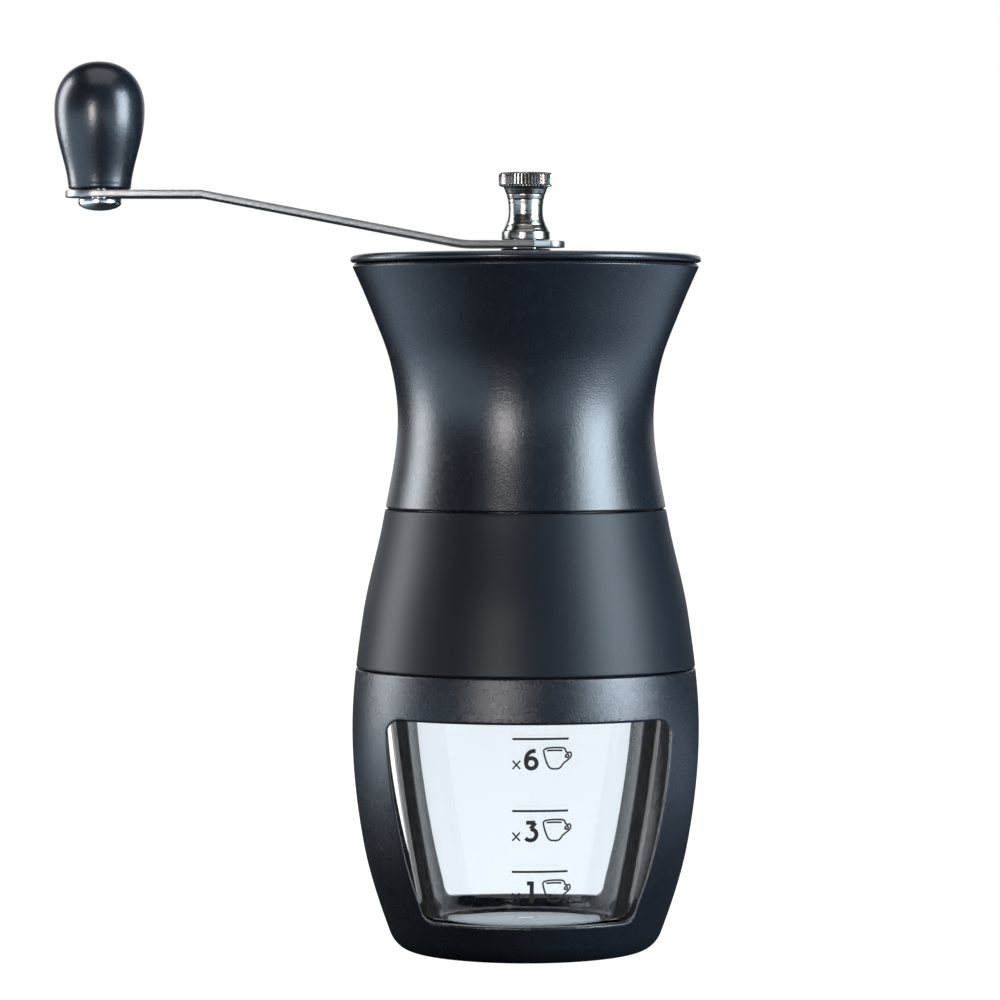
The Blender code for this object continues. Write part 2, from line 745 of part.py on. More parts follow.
def make_outer_burr(finish, parent):
    """A ring whose toothed bore closes on the inner burr near its foot and opens upwards."""
    foot = OUTER_BURR_Z
    top = foot + BURR_HEIGHT
    tight = foot + GRIND_SHARE * BURR_HEIGHT
    foot_r = inner_burr_radius(foot) + GRIND_GAP
    tight_r = inner_burr_radius(tight) + 2 * GRIND_GAP
    mouth_r = THROAT_R - 2 * GAP
    middle = share_point((tight, tight_r), (top, mouth_r), BURR_MID_SHARES)
    loop = [
        (BURR_R, foot, 0),
        (BURR_R, top, 0),
        (mouth_r, top, -TOOTH_DEPTH),
        (middle[1], middle[0], -TOOTH_DEPTH),
        (tight_r, tight, -TOOTH_DEPTH),
        (foot_r, foot, -TOOTH_DEPTH / 2),
    ]
    mesh = toothed("outer_burr", loop, BURR_TEETH, -TOOTH_TWIST)
    return place("outer_burr", mesh, finish, parent)


def make_screw(index, x, y, finish, parent):
    """A pan-head screw that points up, its cross recess open below."""
    name = f"carrier_screw_{index}"
    head_z = FLANGE_Z - GAP
    foot = head_z - SCREW_HEAD_HEIGHT
    profile = [
        (0, foot),
        (SCREW_HEAD_R - SCREW_HEAD_EDGE, foot),
        (SCREW_HEAD_R, foot + SCREW_HEAD_EDGE),
        (SCREW_HEAD_R, head_z),
        (SCREW_R, head_z),
        (SCREW_R, head_z + SCREW_LENGTH - SCREW_R),
        (0, head_z + SCREW_LENGTH),
    ]
    screw = place(name, turned(name, profile, 16), finish, parent, (x, y, 0))
    arm = SCREW_CROSS_R
    half = SCREW_RECESS_WIDTH / 2
    corners = [(arm, half), (half, half), (half, arm)]
    cross = [
        (x * math.cos(a) - y * math.sin(a), x * math.sin(a) + y * math.cos(a))
        for a in (0, math.pi / 2, math.pi, 3 * math.pi / 2)
        for x, y in corners
    ]
    recess = prism(f"recess_{index}", cross, foot - GAP, foot + SCREW_RECESS_DEPTH)
    boolean(screw, tool(f"recess_{index}", recess, parent, (x, y, 0)), "DIFFERENCE")
    return screw


# Lid


def make_lid(finish, parent):
    rib_foot = LID_Z - LID_RIB_DEPTH
    rib_r = outline(rib_foot) - HOPPER_WALL - GAP
    bore = SHAFT_R + 2 * GAP
    rim = LID_R - LID_EDGE_R
    profile = [(bore, LID_Z), (bore, LID_TOP)]
    profile += arc(rim, LID_TOP - LID_EDGE_R, LID_EDGE_R, 90, 0, 4)
    profile += arc(rim, LID_Z + LID_EDGE_R, LID_EDGE_R, 0, -90, 4)
    profile += [
        (rib_r, LID_Z),
        (rib_r, rib_foot),
        (rib_r - LID_RIB_WIDTH, rib_foot),
        (rib_r - LID_RIB_WIDTH, LID_Z),
    ]
    return place("lid", turned("lid", profile, BIG_STEPS), finish, parent)


# Pieces that turn with the shaft


def make_drive_shaft(finish, parent):
    """A steel rod: threaded tail, groove for the circlip, two flats for the arm, threaded top."""
    clip_z = circlip_height()
    groove_r = SHAFT_R - CIRCLIP_GROOVE
    edge = SHAFT_EDGE
    profile = [
        (0, SHAFT_Z),
        (SHAFT_R - edge, SHAFT_Z),
        (SHAFT_R, SHAFT_Z + edge),
        (SHAFT_R, clip_z - GAP),
        (groove_r, clip_z - GAP),
        (groove_r, clip_z + CIRCLIP_THICKNESS + GAP),
        (SHAFT_R, clip_z + CIRCLIP_THICKNESS + GAP),
        (SHAFT_R, THREAD_Z),
        (THREAD_R, THREAD_Z),
        (THREAD_R, SHAFT_TOP - edge),
        (THREAD_R - edge, SHAFT_TOP),
        (0, SHAFT_TOP),
    ]
    shaft = place("drive_shaft", turned("drive_shaft", profile, SMALL_STEPS), finish, parent)
    outer = 2 * SHAFT_R
    for name, z_low, z_high in (
        ("top", SHAFT_FLATS_Z, THREAD_Z + GAP),
        ("tail", DETENT_Z - BURR_TRAVEL - GAP, INNER_BURR_TOP + GAP),
    ):
        for side in (-1, 1):
            block = [
                (-outer, side * SHAFT_FLAT),
                (outer, side * SHAFT_FLAT),
                (outer, side * outer),
                (-outer, side * outer),
            ]
            flat = prism(f"{name}_flat_{side}", block, z_low, z_high)
            boolean(shaft, tool(f"{name}_flat_{side}", flat, parent), "DIFFERENCE")
    return shaft


def circlip_height():
    """Underside of the circlip, which rests on the thrust washer above the lower bush."""
    bush_top = LOWER_HUB_TOP + GAP + BUSH_FLANGE_THICKNESS
    return bush_top + GAP + THRUST_WASHER_THICKNESS + GAP


def make_thrust_washer(finish, parent):
    low = LOWER_HUB_TOP + BUSH_FLANGE_THICKNESS + 2 * GAP
    high = low + THRUST_WASHER_THICKNESS
    bore = SHAFT_R + GAP
    profile = [(bore, low), (bore, high), (THRUST_WASHER_R, high), (THRUST_WASHER_R, low)]
    return place("thrust_washer", turned("thrust_washer", profile, SMALL_STEPS), finish, parent)


def make_circlip(finish, parent):
    """A flat spring ring, open on one side, that snaps into the shaft's groove."""
    bore = SHAFT_R - CIRCLIP_GROOVE + GAP
    start = CIRCLIP_OPENING / 2
    sweep = 2 * math.pi - CIRCLIP_OPENING
    steps = 16
    angles = [start + sweep * i / steps for i in range(steps + 1)]
    outside = [(CIRCLIP_R * math.cos(a), CIRCLIP_R * math.sin(a)) for a in angles]
    inside = [(bore * math.cos(a), bore * math.sin(a)) for a in reversed(angles)]
    low = circlip_height()
    mesh = prism("circlip", outside + inside, low, low + CIRCLIP_THICKNESS)
    return place("circlip", mesh, finish, parent)


def make_spring(finish, parent):
    """A short coil that pushes the inner burr down on its dial."""
    low = INNER_BURR_TOP + GAP + SPRING_WIRE_R
    high = LOWER_HUB_Z - GAP - SPRING_WIRE_R
    per_turn = 10
    count = int(SPRING_TURNS * per_turn) + 1
    curve = bpy.data.curves.new("burr_spring", "CURVE")
    curve.dimensions = "3D"
    curve.bevel_depth = SPRING_WIRE_R
    curve.bevel_resolution = 1
    curve.use_fill_caps = True
    spline = curve.splines.new("POLY")
    spline.points.add(count - 1)
    for i, point in enumerate(spline.points):
        angle = 2 * math.pi * i / per_turn
        z = between(low, high, i / (count - 1))
        point.co = (SPRING_R * math.cos(angle), SPRING_R * math.sin(angle), z, 1)
    return place("burr_spring", curve, finish, parent)


def flats_bore_points(clearance, steps=6):
    """Outline of a round hole with two flats that fits over the shaft's flats."""
    radius = SHAFT_R + clearance
    flat = SHAFT_FLAT + clearance
    corner = math.asin(flat / radius)
    right = [
        (radius * math.cos(a), radius * math.sin(a))
        for a in (between(-corner, corner, i / steps) for i in range(steps + 1))
    ]
    return right + [(-x, -y) for x, y in right]


def make_inner_burr(finish, parent):
    """A toothed cone with a hole that the shaft's flats drive."""
    foot = INNER_BURR_Z
    bore = SHAFT_R + GAP
    count = 5
    loop = []
    for i in range(count):
        z = between(foot, INNER_BURR_TOP, i / (count - 1))
        depth = TOOTH_DEPTH * between(1.0, 1.6, i / (count - 1))
        loop.append((inner_burr_radius(z), z, depth))
    loop.append((bore, INNER_BURR_TOP, 0))
    loop.append((bore, foot, 0))
    mesh = toothed("inner_burr", loop, BURR_TEETH, TOOTH_TWIST)
    return place("inner_burr", mesh, finish, parent)


def make_detent_washer(finish, parent):
    """The steel plate between burr and dial, keyed to the shaft's flats."""
    mesh = prism(
        "detent_washer", circle_points(DETENT_R, MEDIUM_STEPS), DETENT_Z, DETENT_Z + DETENT_THICKNESS
    )
    washer = place("detent_washer", mesh, finish, parent)
    bore = prism(
        "detent_bore", flats_bore_points(GAP), DETENT_Z - GAP, DETENT_Z + DETENT_THICKNESS + GAP
    )
    boolean(washer, tool("detent_bore", bore, parent), "DIFFERENCE")
    return washer


def make_adjust_dial(finish, parent):
    """The lobed dial under the burr, with a hexagon pocket for its nut."""
    steps = DIAL_LOBES * 6
    lobes = []
    for i in range(steps):
        angle = 2 * math.pi * i / steps
        radius = DIAL_R + DIAL_LOBE * math.cos(DIAL_LOBES * angle)
        lobes.append((radius * math.cos(angle), radius * math.sin(angle)))
    top = DIAL_Z + DIAL_HEIGHT
    dial = place("adjust_dial", prism("adjust_dial", lobes, DIAL_Z, top), finish, parent)
    pocket = prism(
        "nut_pocket", circle_points(DIAL_NUT_R + GAP, 6), top - DIAL_NUT_HEIGHT - GAP, top + GAP
    )
    boolean(dial, tool("nut_pocket", pocket, parent), "DIFFERENCE")
    bore = prism(
        "dial_bore", circle_points(SHAFT_R + GAP, SMALL_STEPS), DIAL_Z - GAP, top + GAP
    )
    boolean(dial, tool("dial_bore", bore, parent), "DIFFERENCE")
    return dial


def make_dial_nut(finish, parent):
    top = DIAL_Z + DIAL_HEIGHT
    low = top - DIAL_NUT_HEIGHT
    nut = place("dial_nut", prism("dial_nut", circle_points(DIAL_NUT_R, 6), low, top), finish, parent)
    bore = prism("dial_nut_bore", circle_points(SHAFT_R + GAP, SMALL_STEPS), low - GAP, top + GAP)
    boolean(nut, tool("dial_nut_bore", bore, parent), "DIFFERENCE")
    return nut


# Crank


def make_crank_spacer(finish, parent):
    bore = SHAFT_R + GAP
    edge = SPACER_EDGE
    top = SPACER_Z + SPACER_HEIGHT
    profile = [
        (bore, SPACER_Z),
        (bore, top),
        (SPACER_R - edge, top),
        (SPACER_R, top - edge),
        (SPACER_R, SPACER_Z),
    ]
    return place("crank_spacer", turned("crank_spacer", profile, SMALL_STEPS), finish, parent)


def strip_path():
    """(x, height, slope angle) along the middle of the strip, from the hub's tip to the knob's."""
    bend_out = -CRANK_BEND_OUT
    bend_in = bend_out + CRANK_RISE / math.tan(CRANK_SLOPE)
    path = []

    def bend(x_corner, z_corner, radius, from_slope, to_slope, steps):
        reach = radius * math.tan(CRANK_SLOPE / 2)
        turn = 1 if to_slope > from_slope else -1
        start_x = x_corner + reach * math.cos(from_slope)
        start_z = z_corner - reach * math.sin(from_slope)
        for i in range(steps + 1):
            angle = between(from_slope, to_slope, i / steps)
            x = start_x - turn * radius * (math.sin(angle) - math.sin(from_slope))
            z = start_z + turn * radius * (math.cos(from_slope) - math.cos(angle))
            path.append((x, z, angle))

    bend(bend_in, 0.0, HUB_BEND_R, 0.0, CRANK_SLOPE, 4)
    bend(bend_out, CRANK_RISE, KNOB_BEND_R, CRANK_SLOPE, 0.0, 2)
    return path


def strip_stations():
    """(x, half width) of the strip's outline, from the hub's tip to the knob's tip."""
    stations = []
    tip_rise = HUB_TIP - HUB_CHAMFER_END
    half_chamfer = HUB_CHAMFER_WIDTH / 2
    for degrees in (82, 60, 35, 10):
        angle = math.radians(degrees)
        x = HUB_CHAMFER_END + tip_rise * math.sin(angle)
        stations.append((x, half_chamfer * math.cos(angle)))
    stations.append((HUB_CHAMFER_START, HUB_WIDTH / 2))

    def half_width(x):
        return between(HUB_WIDTH, KNOB_END_WIDTH, -x / CRANK_REACH) / 2

    for x, _, _ in strip_path():
        stations.append((x, half_width(x)))
    tip_r = KNOB_END_WIDTH / 2
    for degrees in (0, 20, 40, 58, 72, 84):
        angle = math.radians(degrees)
        stations.append((-CRANK_REACH - tip_r * math.sin(angle), tip_r * math.cos(angle)))
    return stations


def strip_height(x):
    """(height, slope angle) of the strip's middle at x, read from its bent path."""
    path = strip_path()
    if x >= path[0][0]:
        return path[0][1], 0.0
    if x <= path[-1][0]:
        return path[-1][1], 0.0
    for (x0, z0, a0), (x1, z1, a1) in zip(path, path[1:]):
        if x1 <= x <= x0:
            share = (x0 - x) / (x0 - x1)
            return between(z0, z1, share), between(a0, a1, share)
    return path[-1][1], 0.0


def make_crank_arm(finish, parent):
    """The bent strip, cut for the shaft's flats at the hub and for the axle at the knob."""
    half = STRIP_THICKNESS / 2
    middle = ARM_Z + half
    bm = bmesh.new()
    sections = []
    for x, half_width in strip_stations():
        height, slope = strip_height(x)
        up = Vector((math.sin(slope), 0, math.cos(slope))) * half
        centre = Vector((x, 0, middle + height))
        side = Vector((0, half_width, 0))
        corners = (centre + up - side, centre + up + side, centre - up + side, centre - up - side)
        sections.append([bm.verts.new(corner) for corner in corners])
    for first, second in zip(sections, sections[1:]):
        for i in range(4):
            j = (i + 1) % 4
            bm.faces.new((first[i], first[j], second[j], second[i]))
    bm.faces.new(sections[0])
    bm.faces.new(reversed(sections[-1]))
    arm = place("crank_arm", finished(bm, "crank_arm"), finish, parent)
    hub = prism("arm_hub_hole", flats_bore_points(GAP), ARM_Z - half, ARM_Z + 3 * half)
    boolean(arm, tool("arm_hub_hole", hub, parent), "DIFFERENCE")
    knob_z = ARM_Z + CRANK_RISE
    hole = prism(
        "arm_knob_hole", circle_points(AXLE_R + GAP, SMALL_STEPS), knob_z - half, knob_z + 3 * half
    )
    boolean(arm, tool("arm_knob_hole", hole, parent, (-CRANK_REACH, 0, 0)), "DIFFERENCE")
    return arm


def make_knob_axle(finish, parent):
    """A domed rivet under the arm whose shank the knob turns on."""
    head_top = ARM_Z + CRANK_RISE - GAP
    rim = head_top - AXLE_HEAD_RIM
    dome = AXLE_HEAD_HEIGHT - AXLE_HEAD_RIM
    top = KNOB_Z + KNOB_HEIGHT - AXLE_TOP_DROP
    profile = [(0, head_top - AXLE_HEAD_HEIGHT)]
    for degrees in (25, 50, 75, 90):
        angle = math.radians(degrees)
        profile.append((AXLE_HEAD_R * math.sin(angle), rim - dome * math.cos(angle)))
    profile += [(AXLE_HEAD_R, head_top), (AXLE_R, head_top), (AXLE_R, top), (0, top)]
    mesh = turned("knob_axle", profile, SMALL_STEPS)
    return place("knob_axle", mesh, finish, parent, (-CRANK_REACH, 0, 0))


def make_thumb_nut(finish, parent):
    """A waisted nut with a wide head, bored from below for the shaft's thread."""
    top = NUT_Z + NUT_HEIGHT
    head = top - NUT_HEAD_HEIGHT
    foot = NUT_Z + NUT_FOOT_HEIGHT
    neck = NUT_Z + NUT_NECK_HEIGHT
    bore = THREAD_R + GAP
    profile = [
        (bore, NUT_Z),
        (NUT_FOOT_R - NUT_CHAMFER, NUT_Z),
        (NUT_FOOT_R, NUT_Z + NUT_CHAMFER),
        (NUT_FOOT_R, foot),
    ]
    for share in (0.35, 0.75, 1.0):
        swing = math.cos(share * math.pi / 2)
        profile.append((between(NUT_NECK_R, NUT_FOOT_R, swing**1.5), between(foot, neck, share)))
    neck_top_r = between(NUT_NECK_R, NUT_HEAD_R, 0.5)
    for share in (0.5, 1.0):
        profile.append((between(NUT_NECK_R, neck_top_r, share**2), between(neck, head, share)))
    profile += [
        (NUT_HEAD_R - NUT_CHAMFER, head),
        (NUT_HEAD_R, head + NUT_CHAMFER),
        (NUT_HEAD_R, top - NUT_CHAMFER),
        (NUT_HEAD_R - NUT_CHAMFER, top),
        (0, top),
        (0, NUT_Z + NUT_BORE_DEPTH),
        (bore, NUT_Z + NUT_BORE_DEPTH),
    ]
    closed_on_axis = profile[-3::-1] + profile[:-3:-1]
    return place("thumb_nut", turned("thumb_nut", closed_on_axis, MEDIUM_STEPS), finish, parent)


def make_knob(finish, parent):
    """A pear-shaped grip that turns on the axle, bored from below."""
    belly = KNOB_BELLY_HEIGHT
    crown = KNOB_HEIGHT - belly
    bore = AXLE_R + GAP
    bore_top = KNOB_HEIGHT - AXLE_TOP_DROP + GAP
    profile = [(0, bore_top), (bore, bore_top), (bore, 0)]
    profile += [(KNOB_FOOT_R - KNOB_FOOT_EDGE, 0), (KNOB_FOOT_R, KNOB_FOOT_EDGE)]
    for share in (0.15, 0.3, 0.45, 0.6, 0.75, 0.88):
        swell = 0.5 - 0.5 * math.cos(math.pi * share**KNOB_SWELL)
        profile.append((between(KNOB_FOOT_R, KNOB_BELLY_R, swell), belly * share))
    for degrees in range(0, 90, 15):
        angle = math.radians(degrees)
        crown_r = KNOB_BELLY_R * math.cos(angle) ** KNOB_CROWN
        profile.append((crown_r, belly + crown * math.sin(angle) ** KNOB_CROWN))
    profile.append((0, KNOB_HEIGHT))
    return place("knob", turned("knob", profile), finish, parent, (-CRANK_REACH, 0, KNOB_Z))


def build():
    clear_scene()
    black = material("black_satin_plastic", (0.014, 0.016, 0.021), 0.34)
    inner = material("inner_black_plastic", (0.02, 0.021, 0.024), 0.5)
    rubber = material("grip_rubber", (0.018, 0.021, 0.026), 0.72)
    seal = material("seal_silicone", (0.10, 0.10, 0.105), 0.6)
    clear = material("cup_clear_plastic", (0.78, 0.86, 0.92), 0.06, alpha=0.3)
    steel = material("strip_steel", (0.52, 0.50, 0.47), 0.32, metallic=1.0)
    nickel = material("nut_nickel", (0.50, 0.45, 0.39), 0.26, metallic=1.0)
    bright = material("shaft_steel", (0.62, 0.62, 0.62), 0.3, metallic=1.0)
    ceramic = material("burr_ceramic", (0.86, 0.85, 0.81), 0.38)
    nylon = material("bush_nylon", (0.80, 0.79, 0.74), 0.5)
    brass = material("dial_brass", (0.66, 0.48, 0.20), 0.32, metallic=1.0)

    base = joint("base_frame", (0, 0, 0), None)
    cup = joint("cup_lift", (0, 0, 0), base)
    head = joint("head_lift", (0, 0, 0), base)
    lid = joint("lid_lift", (0, 0, LID_Z), head)
    shaft = joint("crank_turn", (0, 0, SHAFT_Z), head)
    burr = joint("burr_feed", (0, 0, INNER_BURR_Z), shaft)
    dial = joint("grind_adjust", (0, 0, DIAL_Z), burr)
    crank = joint("crank_lift", (0, 0, ARM_Z), shaft)
    knob = joint("knob_spin", (-CRANK_REACH, 0, KNOB_Z), crank)
    nut = joint("nut_lift", (0, 0, NUT_Z), shaft)

    make_base_shell(black, base)
    make_cup(clear, cup)
    make_middle_shell(inner, head)
    make_grip_band(rubber, head)
    make_seal_ring(seal, head)
    make_hopper(black, head)
    make_shaft_guide(inner, head)
    make_bush("upper_bush", GUIDE_Z, GUIDE_HUB_HEIGHT, nylon, head)
    make_bush("lower_bush", LOWER_HUB_Z, LOWER_HUB_HEIGHT, nylon, head)
    make_burr_carrier(inner, head)
    make_outer_burr(ceramic, head)
    for index, (x, y) in enumerate(screw_places(), start=1):
        make_screw(index, x, y, bright, head)
    make_lid(black, lid)
    make_drive_shaft(bright, shaft)
    make_thrust_washer(bright, shaft)
    make_circlip(bright, shaft)
    make_spring(bright, shaft)
    make_inner_burr(ceramic, burr)
    make_detent_washer(bright, burr)
    make_adjust_dial(inner, dial)
    make_dial_nut(brass, dial)
    make_crank_spacer(inner, crank)
    make_crank_arm(steel, crank)
    make_knob_axle(bright, crank)
    make_knob(black, knob)
    make_thumb_nut(nickel, nut)


build()
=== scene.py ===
import math

import bmesh
import bpy
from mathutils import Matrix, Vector


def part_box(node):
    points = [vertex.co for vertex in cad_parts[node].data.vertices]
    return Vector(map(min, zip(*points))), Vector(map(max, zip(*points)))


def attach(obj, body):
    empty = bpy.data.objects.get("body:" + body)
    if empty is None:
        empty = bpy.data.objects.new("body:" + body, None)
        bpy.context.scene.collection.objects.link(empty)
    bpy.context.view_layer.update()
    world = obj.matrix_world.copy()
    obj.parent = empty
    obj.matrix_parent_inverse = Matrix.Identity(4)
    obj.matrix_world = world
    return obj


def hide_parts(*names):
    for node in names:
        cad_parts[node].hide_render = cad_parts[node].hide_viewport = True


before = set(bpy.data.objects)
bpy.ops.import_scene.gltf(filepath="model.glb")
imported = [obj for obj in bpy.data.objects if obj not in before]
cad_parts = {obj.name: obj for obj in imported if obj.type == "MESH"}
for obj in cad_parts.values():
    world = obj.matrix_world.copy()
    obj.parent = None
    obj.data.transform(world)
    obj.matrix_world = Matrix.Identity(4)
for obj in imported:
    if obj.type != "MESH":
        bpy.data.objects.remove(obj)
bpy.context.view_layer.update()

# ---------------------------------------------------------------------------------------------------
# Camera and stage: a long lens at the hopper's height, a pale table, a bright wall of light behind, and
# soft lamps left, right, in front and overhead, which give the black plastic long highlights.

CAMERA_PLACE = (-0.0315, -0.9795, 0.1330)
CAMERA_DIP = 1.785
CAMERA_TURN = -1.5
LENS = 154.8

camera = bpy.data.objects.new("camera", bpy.data.cameras.new("camera"))
bpy.context.scene.collection.objects.link(camera)
camera.location = CAMERA_PLACE
camera.rotation_euler = (math.radians(90 - CAMERA_DIP), 0, math.radians(CAMERA_TURN))
camera.data.lens = LENS
camera.data.sensor_width = 36
bpy.context.scene.camera = camera
bpy.context.scene.view_settings.view_transform = "Standard"


class Value:
    """The output of a node, on which plain arithmetic adds Math nodes."""

    def __init__(self, nodes, socket):
        self.nodes = nodes
        self.socket = socket

    def math(self, operation, *others):
        sockets = {i: value for i, value in enumerate((self, *others))}
        return self.nodes.node("ShaderNodeMath", {"operation": operation}, sockets)

    def __add__(self, other):
        return self.math("ADD", other)

    def __mul__(self, other):
        return self.math("MULTIPLY", other)

    def __sub__(self, other):
        return self.math("SUBTRACT", other)

    def __rsub__(self, other):
        return self * -1.0 + other

    __radd__ = __add__
    __rmul__ = __mul__

    def clamped(self):
        return self.math("MAXIMUM", 0.0).math("MINIMUM", 1.0)


class Nodes:
    """A node tree, with one method that adds any node."""

    def __init__(self, tree):
        self.tree = tree

    def node(self, kind, settings=None, sockets=None, output=0):
        """Adds a node with its settings and its sockets' values or links, and gives one of its outputs."""
        made = self.tree.nodes.new(kind)
        for name, value in (settings or {}).items():
            setattr(made, name, value)
        for name, value in (sockets or {}).items():
            self.feed(made.inputs[name], value)
        return Value(self, made.outputs[output])

    def feed(self, socket, value):
        if isinstance(value, Value):
            self.tree.links.new(value.socket, socket)
        else:
            socket.default_value = value

    def mix(self, first, second, share):
        """A colour between two others."""
        sockets = {0: share, 6: first, 7: second}
        return self.node("ShaderNodeMix", {"data_type": "RGBA"}, sockets, output=2)


WALL_LIGHT = (0.93, 0.965, 1.0, 1.0)
FRONT_DARK = (0.006, 0.008, 0.011, 1.0)
WALL_EDGE = 0.72
WALL_EDGE_SHIFT = 0.80
WALL_FULL_SHIFT = 0.33

world = bpy.data.worlds.new("studio")
bpy.context.scene.world = world
world.use_nodes = True
room = Nodes(world.node_tree)
background = world.node_tree.nodes["Background"]
towards = room.node("ShaderNodeTexCoord", output="Generated")
depth = room.node("ShaderNodeSeparateXYZ", sockets={0: towards}, output="Y")
through = room.node("ShaderNodeLightPath", output="Is Transmission Ray")
soft = {"interpolation_type": "SMOOTHSTEP"}
# What shines through the cup comes from a wider wall than what the black plastic mirrors.
wall_share = room.node(
    "ShaderNodeMapRange",
    soft,
    {0: depth, 1: WALL_EDGE - through * WALL_EDGE_SHIFT, 2: 1.0 - through * WALL_FULL_SHIFT},
)
seen = room.node("ShaderNodeLightPath", output="Is Camera Ray")
studio = room.mix(FRONT_DARK, WALL_LIGHT, wall_share)
room.feed(background.inputs["Color"], room.mix(studio, (1.0, 1.0, 1.0, 1.0), seen))
background.inputs["Strength"].default_value = 1.0


def lamp(name, azimuth, elevation, distance, size, power, colour):
    """A soft rectangular lamp aimed at the middle of the body; azimuth 0 is the camera's side."""
    light = bpy.data.lights.new(name, "AREA")
    light.shape = "RECTANGLE"
    light.size, light.size_y = size
    light.energy = power
    light.color = colour
    made = bpy.data.objects.new(name, light)
    bpy.context.scene.collection.objects.link(made)
    turn, rise = math.radians(azimuth), math.radians(elevation)
    side = Vector((math.sin(turn) * math.cos(rise), -math.cos(turn) * math.cos(rise), math.sin(rise)))
    aim = Vector((0, 0, 0.11))
    made.location = aim + side * distance
    made.rotation_euler = (-side).to_track_quat("-Z", "Y").to_euler()
    made.visible_transmission = False
    return made


lamp("right_window", 64, 8, 0.9, (0.50, 0.9), 29.0, (0.74, 0.88, 1.0))
lamp("left_window", -107, 8, 0.9, (0.36, 1.1), 14.0, (0.88, 0.94, 1.0))
lamp("warm_lamp", -20, 3, 1.1, (0.17, 0.30), 5.2, (1.0, 0.95, 0.95))
lamp("ceiling", 0, 80, 1.0, (0.9, 0.9), 4.0, (0.90, 0.95, 1.0))

TABLE_REACH = 30.0
GLOW_STRENGTH = 1.3
SIDE_STRENGTH = 2.2
PAINT_SHARE = 0.2

floor_mesh = bpy.data.meshes.new("table_top")
corners = [(x * TABLE_REACH, y * TABLE_REACH, 0) for x, y in ((-1, -1), (1, -1), (1, 1), (-1, 1))]
floor_mesh.from_pydata(corners, [], [(0, 1, 2, 3)])
table_top = bpy.data.objects.new("table_top", floor_mesh)
bpy.context.scene.collection.objects.link(table_top)
pale = bpy.data.materials.new("pale_table")
pale.use_nodes = True
paint = Nodes(pale.node_tree)
painted = pale.node_tree.nodes["Principled BSDF"]
painted.inputs["Base Color"].default_value = (0.9, 0.9, 0.9, 1.0)
painted.inputs["Roughness"].default_value = 0.5
spot = paint.node("ShaderNodeTexCoord", output="Object")
across = paint.node("ShaderNodeSeparateXYZ", sockets={0: spot}, output="X").math("ABSOLUTE")
behind = paint.node("ShaderNodeSeparateXYZ", sockets={0: spot}, output="Y")
aside = paint.node("ShaderNodeMapRange", soft, {0: across, 1: 0.10, 2: 0.45})
beyond = paint.node("ShaderNodeMapRange", soft, {0: behind, 1: 0.05, 2: 0.50})
# Painted light: the table's sides glow blue, but only for rays that the plastic mirrors or bounces.
side_colour = {"Color": (0.62, 0.80, 1.0, 1.0), "Strength": SIDE_STRENGTH}
side_light = paint.node("ShaderNodeEmission", sockets=side_colour)
dim = paint.node("ShaderNodeBsdfDiffuse", sockets={"Color": (0.03, 0.031, 0.033, 1.0)})
mirrored_dark_and_side_glow = paint.node("ShaderNodeMixShader", sockets={0: aside * (1 - beyond), 1: dim, 2: side_light})
glow_colour = {"Color": (1.0, 1.0, 1.0, 1.0), "Strength": GLOW_STRENGTH}
glow = paint.node("ShaderNodeEmission", sockets=glow_colour)
matt = Value(paint, painted.outputs[0])
lit = paint.node("ShaderNodeMixShader", sockets={0: PAINT_SHARE, 1: glow, 2: matt})
watched = paint.node("ShaderNodeLightPath", output="Is Camera Ray")
watched_through = paint.node("ShaderNodeLightPath", output="Is Transmission Ray")
# The table looks bright straight on and through the cup, and dark where the plastic mirrors it, save for
# painted light: blue glowing strips at its sides, seen only in reflections and bounces.
bright = watched.math("MAXIMUM", watched_through)
shown = paint.node("ShaderNodeMixShader", sockets={0: bright, 1: mirrored_dark_and_side_glow, 2: lit})
paint.feed(pale.node_tree.nodes["Material Output"].inputs["Surface"], shown)
table_top.data.materials.append(pale)

# ---------------------------------------------------------------------------------------------------
# Base shell: an injection-moulded barrel of black plastic with a fine spark-eroded grain, open at the
# top for the collar of the head, with one window moulded through the front and one through the back.

GAP = 0.0003
BASE_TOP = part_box("base_shell")[1].z
BASE_WALL = 0.0024
BASE_FLOOR = 0.0036
HOPPER_FOOT_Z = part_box("grip_band")[1].z + GAP
MOUTH_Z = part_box("hopper")[1].z
FOOT_FLAT_R = 0.026
FOOT_TURN = math.radians(63)
FOOT_LINE = (0.004, 0.0310)
BELLY = (BASE_TOP - 0.0137, 0.03955)
WAIST = (HOPPER_FOOT_Z + 0.0203, 0.02915)
MOUTH = (MOUTH_Z, 0.0397)
WINDOW_TOP = BASE_TOP - 0.0100
WINDOW_BOTTOM = 0.0088
WINDOW_MARGINS = (0.0098, 0.0078)
WINDOW_CORNER_R = 0.003
WINDOW_EDGE_R = 0.0006
WINDOW_CUT_DEPTH = 0.008
FOOT_FLARE = 1.25
MOUTH_FLARE = 1.1
FINE_STEPS = 168


def between(low, high, share):
    """The value that lies the given share of the way from low to high."""
    return low + (high - low) * share


def share_point(start, end, z_share, r_share):
    """A station (height, radius) between two others, with its own share of each."""
    return between(start[0], end[0], z_share), between(start[1], end[1], r_share)


STATIONS = [
    FOOT_LINE,
    share_point(FOOT_LINE, BELLY, 0.435, 0.70),
    BELLY,
    share_point(BELLY, WAIST, 0.371, 0.24),
    share_point(BELLY, WAIST, 0.68, 0.69),
    WAIST,
    share_point(WAIST, MOUTH, 0.357, 0.152),
    share_point(WAIST, MOUTH, 0.671, 0.526),
    MOUTH,
]


def station_slope(i):
    """The outer curve's slope at a station: level at belly and waist, averaged between the others."""
    if STATIONS[i] in (BELLY, WAIST):
        return 0.0
    low = STATIONS[max(i - 1, 0)]
    high = STATIONS[min(i + 1, len(STATIONS) - 1)]
    slope = (high[1] - low[1]) / (high[0] - low[0])
    return slope * {0: FOOT_FLARE, len(STATIONS) - 1: MOUTH_FLARE}.get(i, 1.0)


